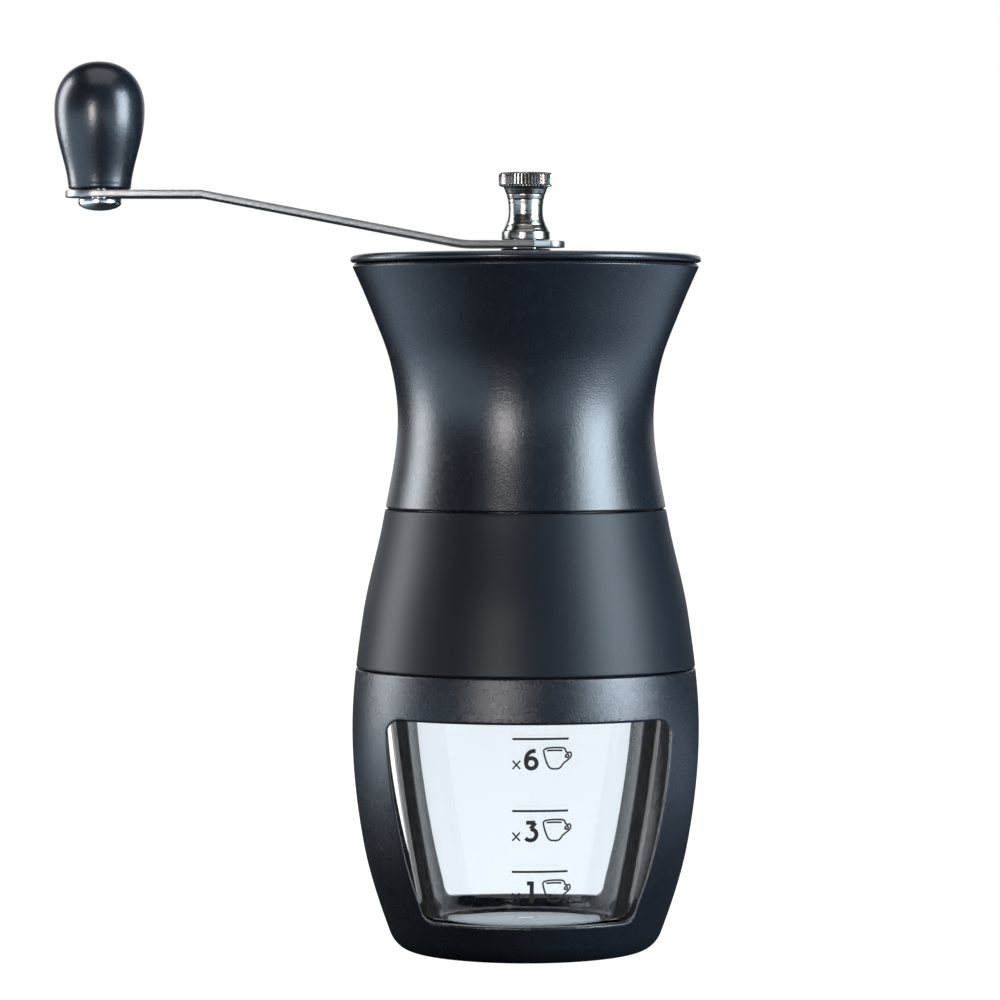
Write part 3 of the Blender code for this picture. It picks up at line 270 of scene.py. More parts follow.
def outline(z):
    """Outer radius of the body at height z, on a cubic between two stations."""
    i = 0
    while i < len(STATIONS) - 2 and z > STATIONS[i + 1][0]:
        i += 1
    (low_z, low_r), (high_z, high_r) = STATIONS[i], STATIONS[i + 1]
    span = high_z - low_z
    t = (z - low_z) / span
    return (
        low_r * (2 * t**3 - 3 * t**2 + 1)
        + station_slope(i) * span * (t**3 - 2 * t**2 + t)
        + high_r * (3 * t**2 - 2 * t**3)
        + station_slope(i + 1) * span * (t**3 - t**2)
    )


def outline_run(z_from, z_to, inset=0.0, pitch=0.0013):
    """Points (radius, height) along the outer curve, moved inwards by inset."""
    count = max(2, round(abs(z_to - z_from) / pitch))
    heights = [between(z_from, z_to, i / count) for i in range(count + 1)]
    return [(outline(z) - inset, z) for z in heights]


def rounded(corners, steps=4):
    """Corners (radius, height, fillet) as profile points, each fillet as an arc of a few points."""
    points = []
    for i, corner in enumerate(corners):
        here = Vector(corner[:2])
        fillet = corner[2] if len(corner) > 2 else 0.0
        if not fillet:
            points.append(tuple(here))
            continue
        back = (Vector(corners[i - 1][:2]) - here).normalized()
        on = (Vector(corners[(i + 1) % len(corners)][:2]) - here).normalized()
        half = back.angle(on) / 2
        centre = here + (back + on).normalized() * (fillet / math.sin(half))
        start = here + back * (fillet / math.tan(half)) - centre
        end = here + on * (fillet / math.tan(half)) - centre
        sweep = start.angle(end)
        for k in range(steps + 1):
            share = k / steps
            arm = (start * math.sin((1 - share) * sweep) + end * math.sin(share * sweep)) / math.sin(sweep)
            points.append(tuple(centre + arm))
    return points


def linked(name, mesh):
    """A new object in the scene with the given mesh."""
    made = bpy.data.objects.new(name, mesh)
    bpy.context.scene.collection.objects.link(made)
    return made


def mesh_of(bm, name, sharp=30):
    """The bmesh as a mesh with its faces pointing out, smooth up to the sharp angle."""
    bmesh.ops.recalc_face_normals(bm, faces=bm.faces)
    mesh = bpy.data.meshes.new(name)
    bm.to_mesh(mesh)
    bm.free()
    mesh.shade_smooth()
    mesh.set_sharp_from_angle(angle=math.radians(sharp))
    return mesh


def turned(name, profile, steps=FINE_STEPS, centre=(0, 0), sharp=30):
    """A piece turned about an upright axis from a profile closed on itself or on the axis."""
    bm = bmesh.new()
    rings = []
    for r, z in profile:
        if r < 1e-7:
            rings.append([bm.verts.new((0, 0, z))])
            continue
        turns = [2 * math.pi * i / steps for i in range(steps)]
        rings.append([bm.verts.new((r * math.cos(a), r * math.sin(a), z)) for a in turns])
    on_axis = len(rings[0]) == 1 and len(rings[-1]) == 1
    for first, second in zip(rings, rings[1:] if on_axis else rings[1:] + rings[:1]):
        for i in range(steps):
            j = (i + 1) % steps
            corners = (first[i % len(first)], first[j % len(first)])
            corners += (second[j % len(second)], second[i % len(second)])
            bm.faces.new(list(dict.fromkeys(corners)))
    bmesh.ops.translate(bm, verts=bm.verts, vec=(*centre, 0))
    return linked(name, mesh_of(bm, name, sharp))


def prism(name, points, z_low, z_high, centre=(0, 0)):
    """An upright solid with an outline of (x, y) points."""
    bm = bmesh.new()
    foot = bm.faces.new([bm.verts.new((x + centre[0], y + centre[1], z_low)) for x, y in points])
    lifted = bmesh.ops.extrude_face_region(bm, geom=[foot])["geom"]
    top = [item for item in lifted if isinstance(item, bmesh.types.BMVert)]
    bmesh.ops.translate(bm, verts=top, vec=(0, 0, z_high - z_low))
    return linked(name, mesh_of(bm, name))


def circle(radius, steps):
    """Points (x, y) round a circle."""
    turns = [2 * math.pi * i / steps for i in range(steps)]
    return [(radius * math.cos(a), radius * math.sin(a)) for a in turns]


def settled(piece):
    """The piece with its modifiers worked into its mesh."""
    graph = bpy.context.evaluated_depsgraph_get()
    mesh = bpy.data.meshes.new_from_object(piece.evaluated_get(graph), depsgraph=graph)
    piece.modifiers.clear()
    piece.data = mesh
    return piece


def combined(piece, others, operation):
    """Cuts the others out of the piece, or joins them to it, and removes them."""
    for other in others:
        step = piece.modifiers.new("joining", "BOOLEAN")
        step.operation = operation
        step.solver = "EXACT"
        step.object = other
    settled(piece)
    for other in others:
        bpy.data.objects.remove(other, do_unlink=True)
    piece.data.shade_smooth()
    piece.data.set_sharp_from_angle(angle=math.radians(30))
    return piece


def window_half_width(z):
    """Half the window's width at height z, which leaves a margin of the shell at each side."""
    share = (z - WINDOW_BOTTOM) / (WINDOW_TOP - WINDOW_BOTTOM)
    return outline(z) - between(*WINDOW_MARGINS, share)


def window_outline():
    """Points (x, z) and outward directions round a window, from the middle of its sill."""
    corner = WINDOW_CORNER_R
    low = window_half_width(WINDOW_BOTTOM + corner) - corner
    high = window_half_width(WINDOW_TOP - corner) - corner
    right = []
    for degrees in range(-90, -8, 9):
        turn = Vector((math.cos(math.radians(degrees)), math.sin(math.radians(degrees))))
        right.append(Vector((low, WINDOW_BOTTOM + corner)) + turn * corner)
    for i in range(1, 30):
        z = between(WINDOW_BOTTOM + corner, WINDOW_TOP - corner, i / 30)
        right.append(Vector((window_half_width(z), z)))
    for degrees in range(0, 91, 9):
        turn = Vector((math.cos(math.radians(degrees)), math.sin(math.radians(degrees))))
        right.append(Vector((high, WINDOW_TOP - corner)) + turn * corner)
    sill = [Vector((low * i / 12, WINDOW_BOTTOM)) for i in range(12)]
    lintel = [Vector((high * i / 16, WINDOW_TOP)) for i in reversed(range(16))]
    half = sill + right + lintel
    points = half + [Vector((-p.x, p.y)) for p in reversed(half[1:-1])]
    found = []
    for i, point in enumerate(points):
        along = points[(i + 1) % len(points)] - points[i - 1]
        found.append((point, Vector((along.y, -along.x)).normalized()))
    return found


def window_cutter(name, side):
    """The solid that cuts one window, flared at the outer surface so that it leaves a round edge."""
    ring_outline = window_outline()
    sections = [(WINDOW_EDGE_R, None)]
    for degrees in (90, 68, 45, 22, 0):
        turn = math.radians(degrees)
        sections.append((WINDOW_EDGE_R * (1 - math.cos(turn)), WINDOW_EDGE_R * (1 - math.sin(turn))))
    bm = bmesh.new()
    rings = []
    for spread, under in sections:
        ring = []
        for point, out in ring_outline:
            edge = point + out * spread
            y = 1.2 * BELLY[1]
            if under is not None:
                y = math.sqrt(outline(edge.y) ** 2 - edge.x**2) - under
            ring.append(bm.verts.new((edge.x, side * y, edge.y)))
        rings.append(ring)
    rings.append([bm.verts.new((point.x, side * WINDOW_CUT_DEPTH, point.y)) for point, _ in ring_outline])
    count = len(ring_outline)
    for first, second in zip(rings, rings[1:]):
        for i in range(count):
            j = (i + 1) % count
            bm.faces.new((first[i], first[j], second[j], second[i]))
    bm.faces.new(rings[0])
    bm.faces.new(rings[-1])
    return linked(name, mesh_of(bm, name))


class Finish(Nodes):
    """A material: a Principled shader with its fixed values, and what varies over the surface."""

    def __init__(self, name, fixed):
        self.material = bpy.data.materials.new(name)
        self.material.use_nodes = True
        super().__init__(self.material.node_tree)
        self.shader = self.tree.nodes["Principled BSDF"]
        for socket, value in fixed.items():
            self.shader.inputs[socket].default_value = value
        self.place = self.node("ShaderNodeTexCoord", output="Object")

    def noise(self, scale, detail=2.0, roughness=0.5, stretch=None):
        place = self.place
        if stretch:
            place = self.node("ShaderNodeMapping", sockets={"Vector": place, "Scale": stretch})
        sockets = {"Vector": place, "Scale": scale, "Detail": detail, "Roughness": roughness}
        return self.node("ShaderNodeTexNoise", sockets=sockets, output="Fac")

    def colour(self, value):
        self.feed(self.shader.inputs["Base Color"], value)

    def roughness(self, value):
        self.feed(self.shader.inputs["Roughness"], value)

    def bump(self, height, distance, strength=1.0):
        sockets = {"Height": height, "Distance": distance, "Strength": strength}
        self.feed(self.shader.inputs["Normal"], self.node("ShaderNodeBump", sockets=sockets))


def satin_black(name, grain_depth, grain_scale, tint=(0.0045, 0.0062, 0.0090)):
    """Black moulded plastic: a fine grain, faint clouds in the gloss, and a trace of dust and rub."""
    finish = Finish(name, {"IOR": 1.5})
    clouds = finish.noise(55.0, 3.0)
    rub = (finish.noise(420.0, 4.0, 0.65) - 0.56) * 6.0
    dark = (*tint, 1.0)
    lighter = tuple(c * 1.9 for c in tint) + (1.0,)
    finish.colour(finish.mix(dark, lighter, (rub.clamped() * 0.5 + clouds * 0.3).clamped()))
    finish.roughness(clouds * 0.07 + rub.clamped() * 0.05 + 0.235)
    grain = finish.noise(grain_scale, 1.5, 0.55) + finish.noise(grain_scale * 2.3, 1.0) * 0.45
    finish.bump(grain, grain_depth)
    return finish.material


BASE_BLACK = satin_black("base_grained_black", 0.00007, 2900.0)


def dressed(piece, material, body, slot, *nodes):
    """Gives a piece its material and its body, and hides the CAD nodes that it stands for. The slot is not
    used.
    """
    piece.data.materials.clear()
    piece.data.materials.append(material)
    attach(piece, body)
    if nodes:
        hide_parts(*nodes)
    return piece


def foot_curve(count=12):
    """Points from the flat underside round to the foot line."""
    points = []
    for i in range(count):
        turn = FOOT_TURN * i / count
        r_share = math.sin(turn) / math.sin(FOOT_TURN)
        z_share = (1 - math.cos(turn)) / (1 - math.cos(FOOT_TURN))
        points.append((between(FOOT_FLAT_R, FOOT_LINE[1], r_share), FOOT_LINE[0] * z_share))
    return points


CUP_FOOT_R = 0.0230
RING_WIDTH = 0.0012
RING_TOP = BASE_FLOOR + 0.0014
base_profile = [(0, 0), (FOOT_FLAT_R * 0.5, 0)]
base_profile += foot_curve()
base_profile += outline_run(FOOT_LINE[0], BASE_TOP - 0.0004)
base_profile += rounded(
    [
        outline_run(BASE_TOP - 0.0006, BASE_TOP)[0],
        (outline(BASE_TOP), BASE_TOP, 0.0003),
        (outline(BASE_TOP) - BASE_WALL, BASE_TOP, 0.0003),
        (outline(BASE_TOP - 0.001) - BASE_WALL, BASE_TOP - 0.001),
    ]
)[1:]
base_profile += outline_run(BASE_TOP - 0.002, 0.0085, BASE_WALL)
base_profile += rounded(
    [
        (outline(0.0085) - BASE_WALL, 0.0085),
        (FOOT_FLAT_R, BASE_FLOOR, 0.002),
        (CUP_FOOT_R + GAP + RING_WIDTH, BASE_FLOOR),
        (CUP_FOOT_R + GAP + RING_WIDTH, RING_TOP, 0.0003),
        (CUP_FOOT_R + GAP, RING_TOP, 0.0003),
        (CUP_FOOT_R + GAP, BASE_FLOOR),
    ]
)[1:]
base_profile += [(CUP_FOOT_R * 0.5, BASE_FLOOR), (0, BASE_FLOOR)]
barrel = turned("barrel", base_profile)
cutters = [window_cutter("front_cutter", -1), window_cutter("back_cutter", 1)]
combined(barrel, cutters, "DIFFERENCE")
dressed(barrel, BASE_BLACK, "base", "satin_black", "base_shell")

# ---------------------------------------------------------------------------------------------------
# Cup: a thick-walled beaker of clear, faintly blue-grey plastic that stands in a ring on the base's
# floor. It is injection moulded through a gate in the middle of its floor, which leaves a small mark.

CUP_WALL = 0.0037
CUP_BULGE = 0.0010
CUP_COLLAR_SPACE = 0.0018
COLLAR_R = outline(BASE_TOP) - BASE_WALL - GAP
COLLAR_WALL = 0.0028
GATE_R = 0.0016
cup_low, cup_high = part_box("cup")
CUP_TOP_R = COLLAR_R - COLLAR_WALL - CUP_COLLAR_SPACE
CUP_FLOOR_Z = cup_low.z + 0.0034


def cup_radius(z):
    """Outer radius of the cup at height z: a cone that swells a little halfway up."""
    share = (z - cup_low.z) / (cup_high.z - cup_low.z)
    return between(CUP_FOOT_R, CUP_TOP_R, share) + CUP_BULGE * 4 * share * (1 - share)


def cup_side(z_from, z_to, inset, count=24):
    """Points (radius, height) along the cup's outer wall, moved inwards by inset."""
    heights = [between(z_from, z_to, i / count) for i in range(count + 1)]
    return [(cup_radius(z) - inset, z) for z in heights]


cup_profile = [(0, cup_low.z), (CUP_FOOT_R - 0.0016, cup_low.z)]
cup_profile += rounded(
    [
        (CUP_FOOT_R - 0.0014, cup_low.z),
        (CUP_FOOT_R, cup_low.z, 0.0009),
        (cup_radius(cup_low.z + 0.004), cup_low.z + 0.004),
    ]
)
cup_profile += cup_side(cup_low.z + 0.005, cup_high.z - 0.002, 0)
cup_profile += rounded(
    [
        (cup_radius(cup_high.z - 0.0015), cup_high.z - 0.0015),
        (CUP_TOP_R, cup_high.z, 0.0009),
        (CUP_TOP_R - CUP_WALL, cup_high.z, 0.0009),
        (cup_radius(cup_high.z - 0.0015) - CUP_WALL, cup_high.z - 0.0015),
    ],
    6,
)
cup_profile += cup_side(cup_high.z - 0.003, CUP_FLOOR_Z + 0.004, CUP_WALL)
cup_profile += rounded(
    [
        (cup_radius(CUP_FLOOR_Z + 0.003) - CUP_WALL, CUP_FLOOR_Z + 0.003),
        (cup_radius(CUP_FLOOR_Z) - CUP_WALL, CUP_FLOOR_Z, 0.0018),
        (cup_radius(CUP_FLOOR_Z) - CUP_WALL - 0.0026, CUP_FLOOR_Z),
        (GATE_R * 1.8, CUP_FLOOR_Z),
        (GATE_R * 1.7, CUP_FLOOR_Z),
        (GATE_R * 1.6, CUP_FLOOR_Z - 0.0002),
        (GATE_R * 1.1, CUP_FLOOR_Z - 0.0002),
        (GATE_R, CUP_FLOOR_Z + 0.0003, 0.0001),
        (0, CUP_FLOOR_Z + 0.0002),
    ],
    6,
)


def clear_plastic():
    """Clear, faintly tinted plastic with a few soft flow marks and fine scratches."""
    finish = Finish("clear_tinted_plastic", {"IOR": 1.49, "Transmission Weight": 1.0})
    flow = finish.noise(60.0, 2.0, 0.5, (1.0, 1.0, 0.35))
    finish.colour(finish.mix((0.895, 0.926, 0.946, 1.0), (0.868, 0.904, 0.928, 1.0), flow))
    scratch = (finish.noise(900.0, 3.0, 0.7) - 0.62) * 5.0
    finish.roughness(scratch.clamped() * 0.10 + 0.015)
    finish.bump(flow, 0.00012, 0.25)
    return finish.material


beaker = turned("beaker", cup_profile, sharp=40)
dressed(beaker, clear_plastic(), "cup", "clear_cup", "cup")

# ---------------------------------------------------------------------------------------------------
# Printed scale on the cup: three levels with their numbers of servings and a small cup beside each,
# pad-printed in black ink on the outer wall.

LEVELS = ((0.0505, "six"), (0.0343, "three"), (0.0205, "one"))
SCALE_SHIFT = 0.0024
INK_PROUD = 0.00004
INK_DEPTH = 0.00003
LINE_WIDTH = 0.50
SMALL_X_WIDTH = 0.36
DIGIT_WIDTH = 0.92
CUP_LINE_WIDTH = 0.40
LEVEL_LINE = ((-6.3, 0.0), (6.3, 0.0))
SMALL_X = (((-6.25, -6.75), (-4.55, -4.85)), ((-6.25, -4.85), (-4.55, -6.75)))
DIGIT_CENTRE = (-2.1, -4.6)
CUP_CENTRE = (3.75, -4.35)
DIGITS = {
    "six": [
        [(-1.17, -0.85), (-0.83, -0.02), (0, 0.32), (0.83, -0.02), (1.17, -0.85), (0.83, -1.68),
         (0, -2.02), (-0.83, -1.68), (-1.17, -0.85), (-1.12, 0.35), (-0.72, 1.25), (0.0, 1.82),
         (0.95, 1.95)],
    ],
    "three": [
        [(-1.1, 1.98), (0.95, 1.98)],
        [(0.95, 1.98), (-0.1, 0.52)],
        [(-0.1, 0.52), (0.65, 0.32), (1.15, -0.3), (1.15, -1.1), (0.7, -1.75), (0.0, -2.0),
         (-0.7, -1.9), (-1.2, -1.5)],
    ],
    "one": [[(-0.85, 2.0), (0.25, 2.0)], [(0.25, 2.42), (0.25, -2.42)]],
}
CUP_BODY = [
    (-3.15, 1.85), (-2.95, 0.7), (-2.45, -0.9), (-1.85, -2.0), (-1.1, -2.35), (0.1, -2.35),
    (0.75, -2.0), (1.35, -1.2), (2.2, -0.55), (2.95, 0.1), (3.2, 0.75), (2.95, 1.25), (2.4, 1.2),
    (1.95, 1.45), (1.75, 2.0), (1.2, 2.3), (-0.6, 2.4), (-2.4, 2.25), (-3.15, 1.85),
]
CUP_RIM = [(-2.4, 1.72), (-0.6, 1.78), (1.1, 1.72)]
CUP_HOLE = [(1.85, 0.05), (1.9, 0.6), (2.3, 0.85), (2.6, 0.55), (2.4, 0.15), (2.05, 0.2), (2.0, 0.45)]


def smooth_line(points, per_span=6):
    """Points (x, y) on a smooth curve through the given ones."""
    found = []
    count = len(points)
    if count == 2:
        return [tuple(Vector(points[0]).lerp(Vector(points[1]), i / 16)) for i in range(17)]
    for i in range(count - 1):
        p1, p2 = Vector(points[i]), Vector(points[i + 1])
        p0 = Vector(points[i - 1]) if i else p1 * 2 - p2
        p3 = Vector(points[i + 2]) if i + 2 < count else p2 * 2 - p1
        for k in range(per_span):
            t = k / per_span
            found.append(
                0.5 * ((2 * p1) + (p2 - p0) * t + (2 * p0 - 5 * p1 + 4 * p2 - p3) * t**2
                       + (3 * p1 - p0 - 3 * p2 + p3) * t**3)
            )
    found.append(Vector(points[-1]))
    return [tuple(point) for point in found]


def on_cup(x, z, proud):
    """A point on the cup's outer wall, x metres round from the middle of the scale."""
    radius = cup_radius(z) + proud
    turn = (SCALE_SHIFT + x) / cup_radius(z)
    return radius * math.sin(turn), -radius * math.cos(turn), z


def ink_stroke(bm, points, width, level, shift=(0, 0)):
    """A thin raised ribbon of ink along a line given in millimetres about the level's mark."""
    line = [Vector(p) + Vector(shift) for p in smooth_line(points)]
    rings = []
    for i, point in enumerate(line):
        along = (line[min(i + 1, len(line) - 1)] - line[max(i - 1, 0)]).normalized()
        across = Vector((-along.y, along.x)) * width / 2
        ring = []
        sides = ((across, INK_PROUD), (-across, INK_PROUD), (-across, INK_DEPTH), (across, INK_DEPTH))
        for side, proud in sides:
            edge = (point + side) / 1000
            ring.append(bm.verts.new(on_cup(edge.x, level + edge.y, proud)))
        rings.append(ring)
    for first, second in zip(rings, rings[1:]):
        for i in range(4):
            j = (i + 1) % 4
            bm.faces.new((first[i], first[j], second[j], second[i]))
    bm.faces.new(rings[0])
    bm.faces.new(rings[-1])


def black_ink():
    """Dull black ink with slightly uneven cover."""
    finish = Finish("printed_black_ink", {})
    cover = finish.noise(3000.0, 2.0)
    finish.colour(finish.mix((0.002, 0.002, 0.0025, 1.0), (0.008, 0.008, 0.009, 1.0), cover))
    finish.roughness(cover * 0.15 + 0.60)
    return finish.material


ink = bmesh.new()
for level, number in LEVELS:
    ink_stroke(ink, LEVEL_LINE, LINE_WIDTH, level)
    for bar in SMALL_X:
        ink_stroke(ink, bar, SMALL_X_WIDTH, level)
    for stroke in DIGITS[number]:
        ink_stroke(ink, stroke, DIGIT_WIDTH, level, DIGIT_CENTRE)
    for stroke in (CUP_BODY, CUP_RIM, CUP_HOLE):
        ink_stroke(ink, stroke, CUP_LINE_WIDTH, level, CUP_CENTRE)
cup_scale = linked("cup_scale", mesh_of(ink, "cup_scale"))
dressed(cup_scale, black_ink(), "cup", "clear_cup")

# ---------------------------------------------------------------------------------------------------
# Middle shell: the black inner wall behind the rubber band. Its collar, with a silicone ring in a
# groove, plugs into the base, and its deck carries the burrs and takes three screws.

BAND_THICKNESS = 0.0020
CORE_WALL = 0.0022
SEAL_DROP = 0.0030
SEAL_WIDTH = 0.0022
SEAL_DEPTH = 0.0012
core_low, core_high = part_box("middle_shell")
carrier_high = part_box("burr_carrier")[1]
BURR_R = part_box("outer_burr")[1].x
DECK_Z = carrier_high.z + GAP
DECK_TOP = DECK_Z + 0.0025
THROAT_R = BURR_R - 0.0030
THROAT_WALL = 0.0012
SCREW_R = 0.0015
SCREW_HEAD_R = 0.0025
SCREW_CIRCLE_R = BURR_R + GAP + 0.0014 + SCREW_HEAD_R + GAP
SCREW_PLACES = [
    (SCREW_CIRCLE_R * math.cos(a), SCREW_CIRCLE_R * math.sin(a))
    for a in (-math.pi / 2 + 2 * math.pi * i / 3 for i in range(3))
]
INNER_BLACK = satin_black("inner_plain_black", 0.00002, 1500.0, (0.016, 0.017, 0.019))

groove_top = BASE_TOP - SEAL_DROP + SEAL_WIDTH / 2
core_inset = BAND_THICKNESS + GAP
core_profile = outline_run(core_high.z, BASE_TOP + 3 * GAP, core_inset, 0.003)
core_profile += rounded(
    [
        (COLLAR_R, BASE_TOP + GAP),
        (COLLAR_R, groove_top),
        (COLLAR_R - SEAL_DEPTH, groove_top, 0.0002),
        (COLLAR_R - SEAL_DEPTH, groove_top - SEAL_WIDTH, 0.0002),
        (COLLAR_R, groove_top - SEAL_WIDTH),
        (COLLAR_R, core_low.z, 0.0006),
        (COLLAR_R - COLLAR_WALL, core_low.z, 0.0006),
        (COLLAR_R - COLLAR_WALL, BASE_TOP),
    ]
)
core_profile += outline_run(BASE_TOP + COLLAR_WALL, DECK_Z, core_inset + CORE_WALL, 0.004)
core_profile += [(THROAT_R + THROAT_WALL + GAP, DECK_Z), (THROAT_R + THROAT_WALL + GAP, DECK_TOP)]
core_profile += outline_run(DECK_TOP, core_high.z, core_inset + CORE_WALL, 0.004)
core = turned("core", core_profile, 120)
holes = [
    prism(f"deck_drill_{i}", circle(SCREW_R + GAP, 24), DECK_Z - GAP, DECK_TOP + GAP, place)
    for i, place in enumerate(SCREW_PLACES)
]
combined(core, holes, "DIFFERENCE")
dressed(core, INNER_BLACK, "head", "inner_black", "middle_shell")


def silicone():
    """Dark grey silicone with a faint pale bloom."""
    finish = Finish("seal_silicone", {"Subsurface Weight": 0.1})
    bloom = finish.noise(700.0, 3.0)
    finish.colour(finish.mix((0.07, 0.07, 0.075, 1.0), (0.12, 0.12, 0.125, 1.0), bloom))
    finish.roughness(bloom * 0.2 + 0.45)
    finish.bump(bloom, 0.00004)
    return finish.material


SEAL_R = 0.00055
seal_centre = COLLAR_R - SEAL_DEPTH + GAP + SEAL_R
seal_z = BASE_TOP - SEAL_DROP
seal_profile = [(seal_centre + x, seal_z + y) for x, y in circle(SEAL_R, 14)]
dressed(turned("collar_seal", seal_profile, 140), silicone(), "head", "seal", "seal_ring")

# ---------------------------------------------------------------------------------------------------
# Grip band: a soft-touch rubber sleeve stretched over the middle shell, flush with the shells above
# and below it. It is dull, dark blue-grey, and its two ends are rolled over a little.

band_low, band_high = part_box("grip_band")
BAND_EDGE_R = 0.0004


def soft_rubber():
    """Dull rubber: a fine even tooth, faint clouds where hands have polished it, a soft sheen."""
    finish = Finish("grip_soft_rubber", {"IOR": 1.5, "Specular IOR Level": 0.20})
    clouds = finish.noise(30.0, 3.0)
    dust = ((finish.noise(1500.0, 2.0, 0.6) - 0.60) * 8.0).clamped()
    wear = (dust * 0.35 + clouds * 0.45).clamped()
    finish.colour(finish.mix((0.0036, 0.0056, 0.0084, 1.0), (0.0080, 0.0112, 0.0150, 1.0), wear))
    finish.roughness(clouds * 0.06 + 0.39)
    finish.bump(finish.noise(3200.0, 1.0), 0.00002)
    return finish.material


band_profile = rounded(
    [
        (outline(band_high.z - 0.0009), band_high.z - 0.0009),
        (outline(band_high.z), band_high.z, BAND_EDGE_R),
        (outline(band_high.z) - BAND_THICKNESS, band_high.z, BAND_EDGE_R),
        (outline(band_high.z - 0.0009) - BAND_THICKNESS, band_high.z - 0.0009),
    ]
)
band_profile += outline_run(band_high.z - 0.002, band_low.z + 0.002, BAND_THICKNESS)
band_profile += rounded(
    [
        (outline(band_low.z + 0.0009) - BAND_THICKNESS, band_low.z + 0.0009),
        (outline(band_low.z) - BAND_THICKNESS, band_low.z, BAND_EDGE_R),
        (outline(band_low.z), band_low.z, BAND_EDGE_R),
        (outline(band_low.z + 0.0009), band_low.z + 0.0009),
    ]
)
band_profile += outline_run(band_low.z + 0.002, band_high.z - 0.002)
dressed(turned("rubber_band", band_profile), soft_rubber(), "head", "grip_rubber", "grip_band")

# ---------------------------------------------------------------------------------------------------
# Hopper: the flared upper shell for the beans, moulded in the same black plastic with a finer, glossier
# grain. Inside it narrows to a throat over the burrs, with screw bosses and a three-armed shaft hub.

HOPPER_WALL = 0.0022
HOPPER_CHAMFER = 0.0004
SPIGOT_LENGTH = 0.0050
BOSS_BORE_DEPTH = 0.0068
SHAFT_R = 0.0030
HUB_BORE_R = SHAFT_R + GAP + 0.0013 + GAP
HUB_R = HUB_BORE_R + 0.0017
ARM_WIDTH = 0.0032
BOSS_R = 0.0027
LOWER_HUB_Z = HOPPER_FOOT_Z - 0.0052
LOWER_HUB_TOP = LOWER_HUB_Z + 0.0056
FUNNEL_TOP = HOPPER_FOOT_Z + 0.0058
FUNNEL_FOOT = HOPPER_FOOT_Z - 0.0028
SPIGOT_R = outline(HOPPER_FOOT_Z) - BAND_THICKNESS - CORE_WALL - 2 * GAP
SPIGOT_IN = SPIGOT_R - HOPPER_WALL
UNDER = HOPPER_WALL * 1.2
hopper_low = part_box("hopper")[0]
HOPPER_BLACK = satin_black("hopper_fine_black", 0.00004, 2600.0)
funnel_slope = (FUNNEL_TOP - FUNNEL_FOOT) / (outline(FUNNEL_TOP) - HOPPER_WALL - THROAT_R)
throat_out = THROAT_R + THROAT_WALL


def star(hub_r, arm_reach, width, steps=12):
    """Outline of a round hub with three straight arms."""
    points = []
    half = math.asin(width / 2 / hub_r)
    for arm in range(3):
        along = math.pi / 2 + 2 * math.pi * arm / 3
        way = Vector((math.cos(along), math.sin(along)))
        across = Vector((-way.y, way.x)) * width / 2
        points += [tuple(way * arm_reach - across), tuple(way * arm_reach + across)]
        for i in range(steps + 1):
            turn = along + half + (2 * math.pi / 3 - 2 * half) * i / steps
            points.append((hub_r * math.cos(turn), hub_r * math.sin(turn)))
    return points


hopper_profile = rounded(
    [
        (outline(MOUTH_Z) - HOPPER_WALL, MOUTH_Z),
        (outline(MOUTH_Z) - 0.0007, MOUTH_Z, 0.0002),
        (outline(MOUTH_Z - 0.0006), MOUTH_Z - 0.0006, 0.0002),
        (outline(MOUTH_Z - 0.0016), MOUTH_Z - 0.0016),
    ]
)[1:]
hopper_profile += outline_run(MOUTH_Z - 0.0025, HOPPER_FOOT_Z + HOPPER_CHAMFER)
hopper_profile += rounded(
    [
        (outline(HOPPER_FOOT_Z) - HOPPER_CHAMFER, HOPPER_FOOT_Z),
        (SPIGOT_R, HOPPER_FOOT_Z),
        (SPIGOT_R, HOPPER_FOOT_Z - SPIGOT_LENGTH, 0.0003),
        (SPIGOT_IN, HOPPER_FOOT_Z - SPIGOT_LENGTH, 0.0003),
        (SPIGOT_IN, FUNNEL_FOOT + funnel_slope * (SPIGOT_IN - THROAT_R) - UNDER, 0.0005),
        (throat_out, FUNNEL_FOOT + funnel_slope * THROAT_WALL - UNDER, 0.0005),
        (throat_out, hopper_low.z, 0.0003),
        (THROAT_R, hopper_low.z, 0.0003),
        (THROAT_R, FUNNEL_FOOT, 0.001),
        (outline(FUNNEL_TOP) - HOPPER_WALL, FUNNEL_TOP, 0.002),
        (outline(FUNNEL_TOP + 0.003) - HOPPER_WALL, FUNNEL_TOP + 0.003),
    ]
)
hopper_profile += outline_run(FUNNEL_TOP + 0.004, MOUTH_Z - 0.0015, HOPPER_WALL)
hopper_profile += [
    (outline(MOUTH_Z - 0.0005) - HOPPER_WALL, MOUTH_Z - 0.0004),
    (outline(MOUTH_Z) - HOPPER_WALL + 0.0003, MOUTH_Z),
]
flared_shell = turned("flared_shell", hopper_profile)
boss_top = FUNNEL_FOOT + funnel_slope * (SCREW_CIRCLE_R - BOSS_R - THROAT_R) - UNDER / 2
additions = [
    prism(f"boss_{i}", circle(BOSS_R, 32), DECK_TOP + GAP, boss_top, place)
    for i, place in enumerate(SCREW_PLACES)
]
star_reach = THROAT_R + THROAT_WALL / 2
additions.append(prism("hub_star", star(HUB_R, star_reach, ARM_WIDTH), LOWER_HUB_Z, LOWER_HUB_TOP))
combined(flared_shell, additions, "UNION")
bores = [prism("hub_drill", circle(HUB_BORE_R, 48), LOWER_HUB_Z - GAP, LOWER_HUB_TOP + GAP)]
bores += [
    prism(f"boss_drill_{i}", circle(SCREW_R + GAP, 24), DECK_TOP, DECK_TOP + BOSS_BORE_DEPTH, place)
    for i, place in enumerate(SCREW_PLACES)
]
combined(flared_shell, bores, "DIFFERENCE")
dressed(flared_shell, HOPPER_BLACK, "head", "satin_black", "hopper")

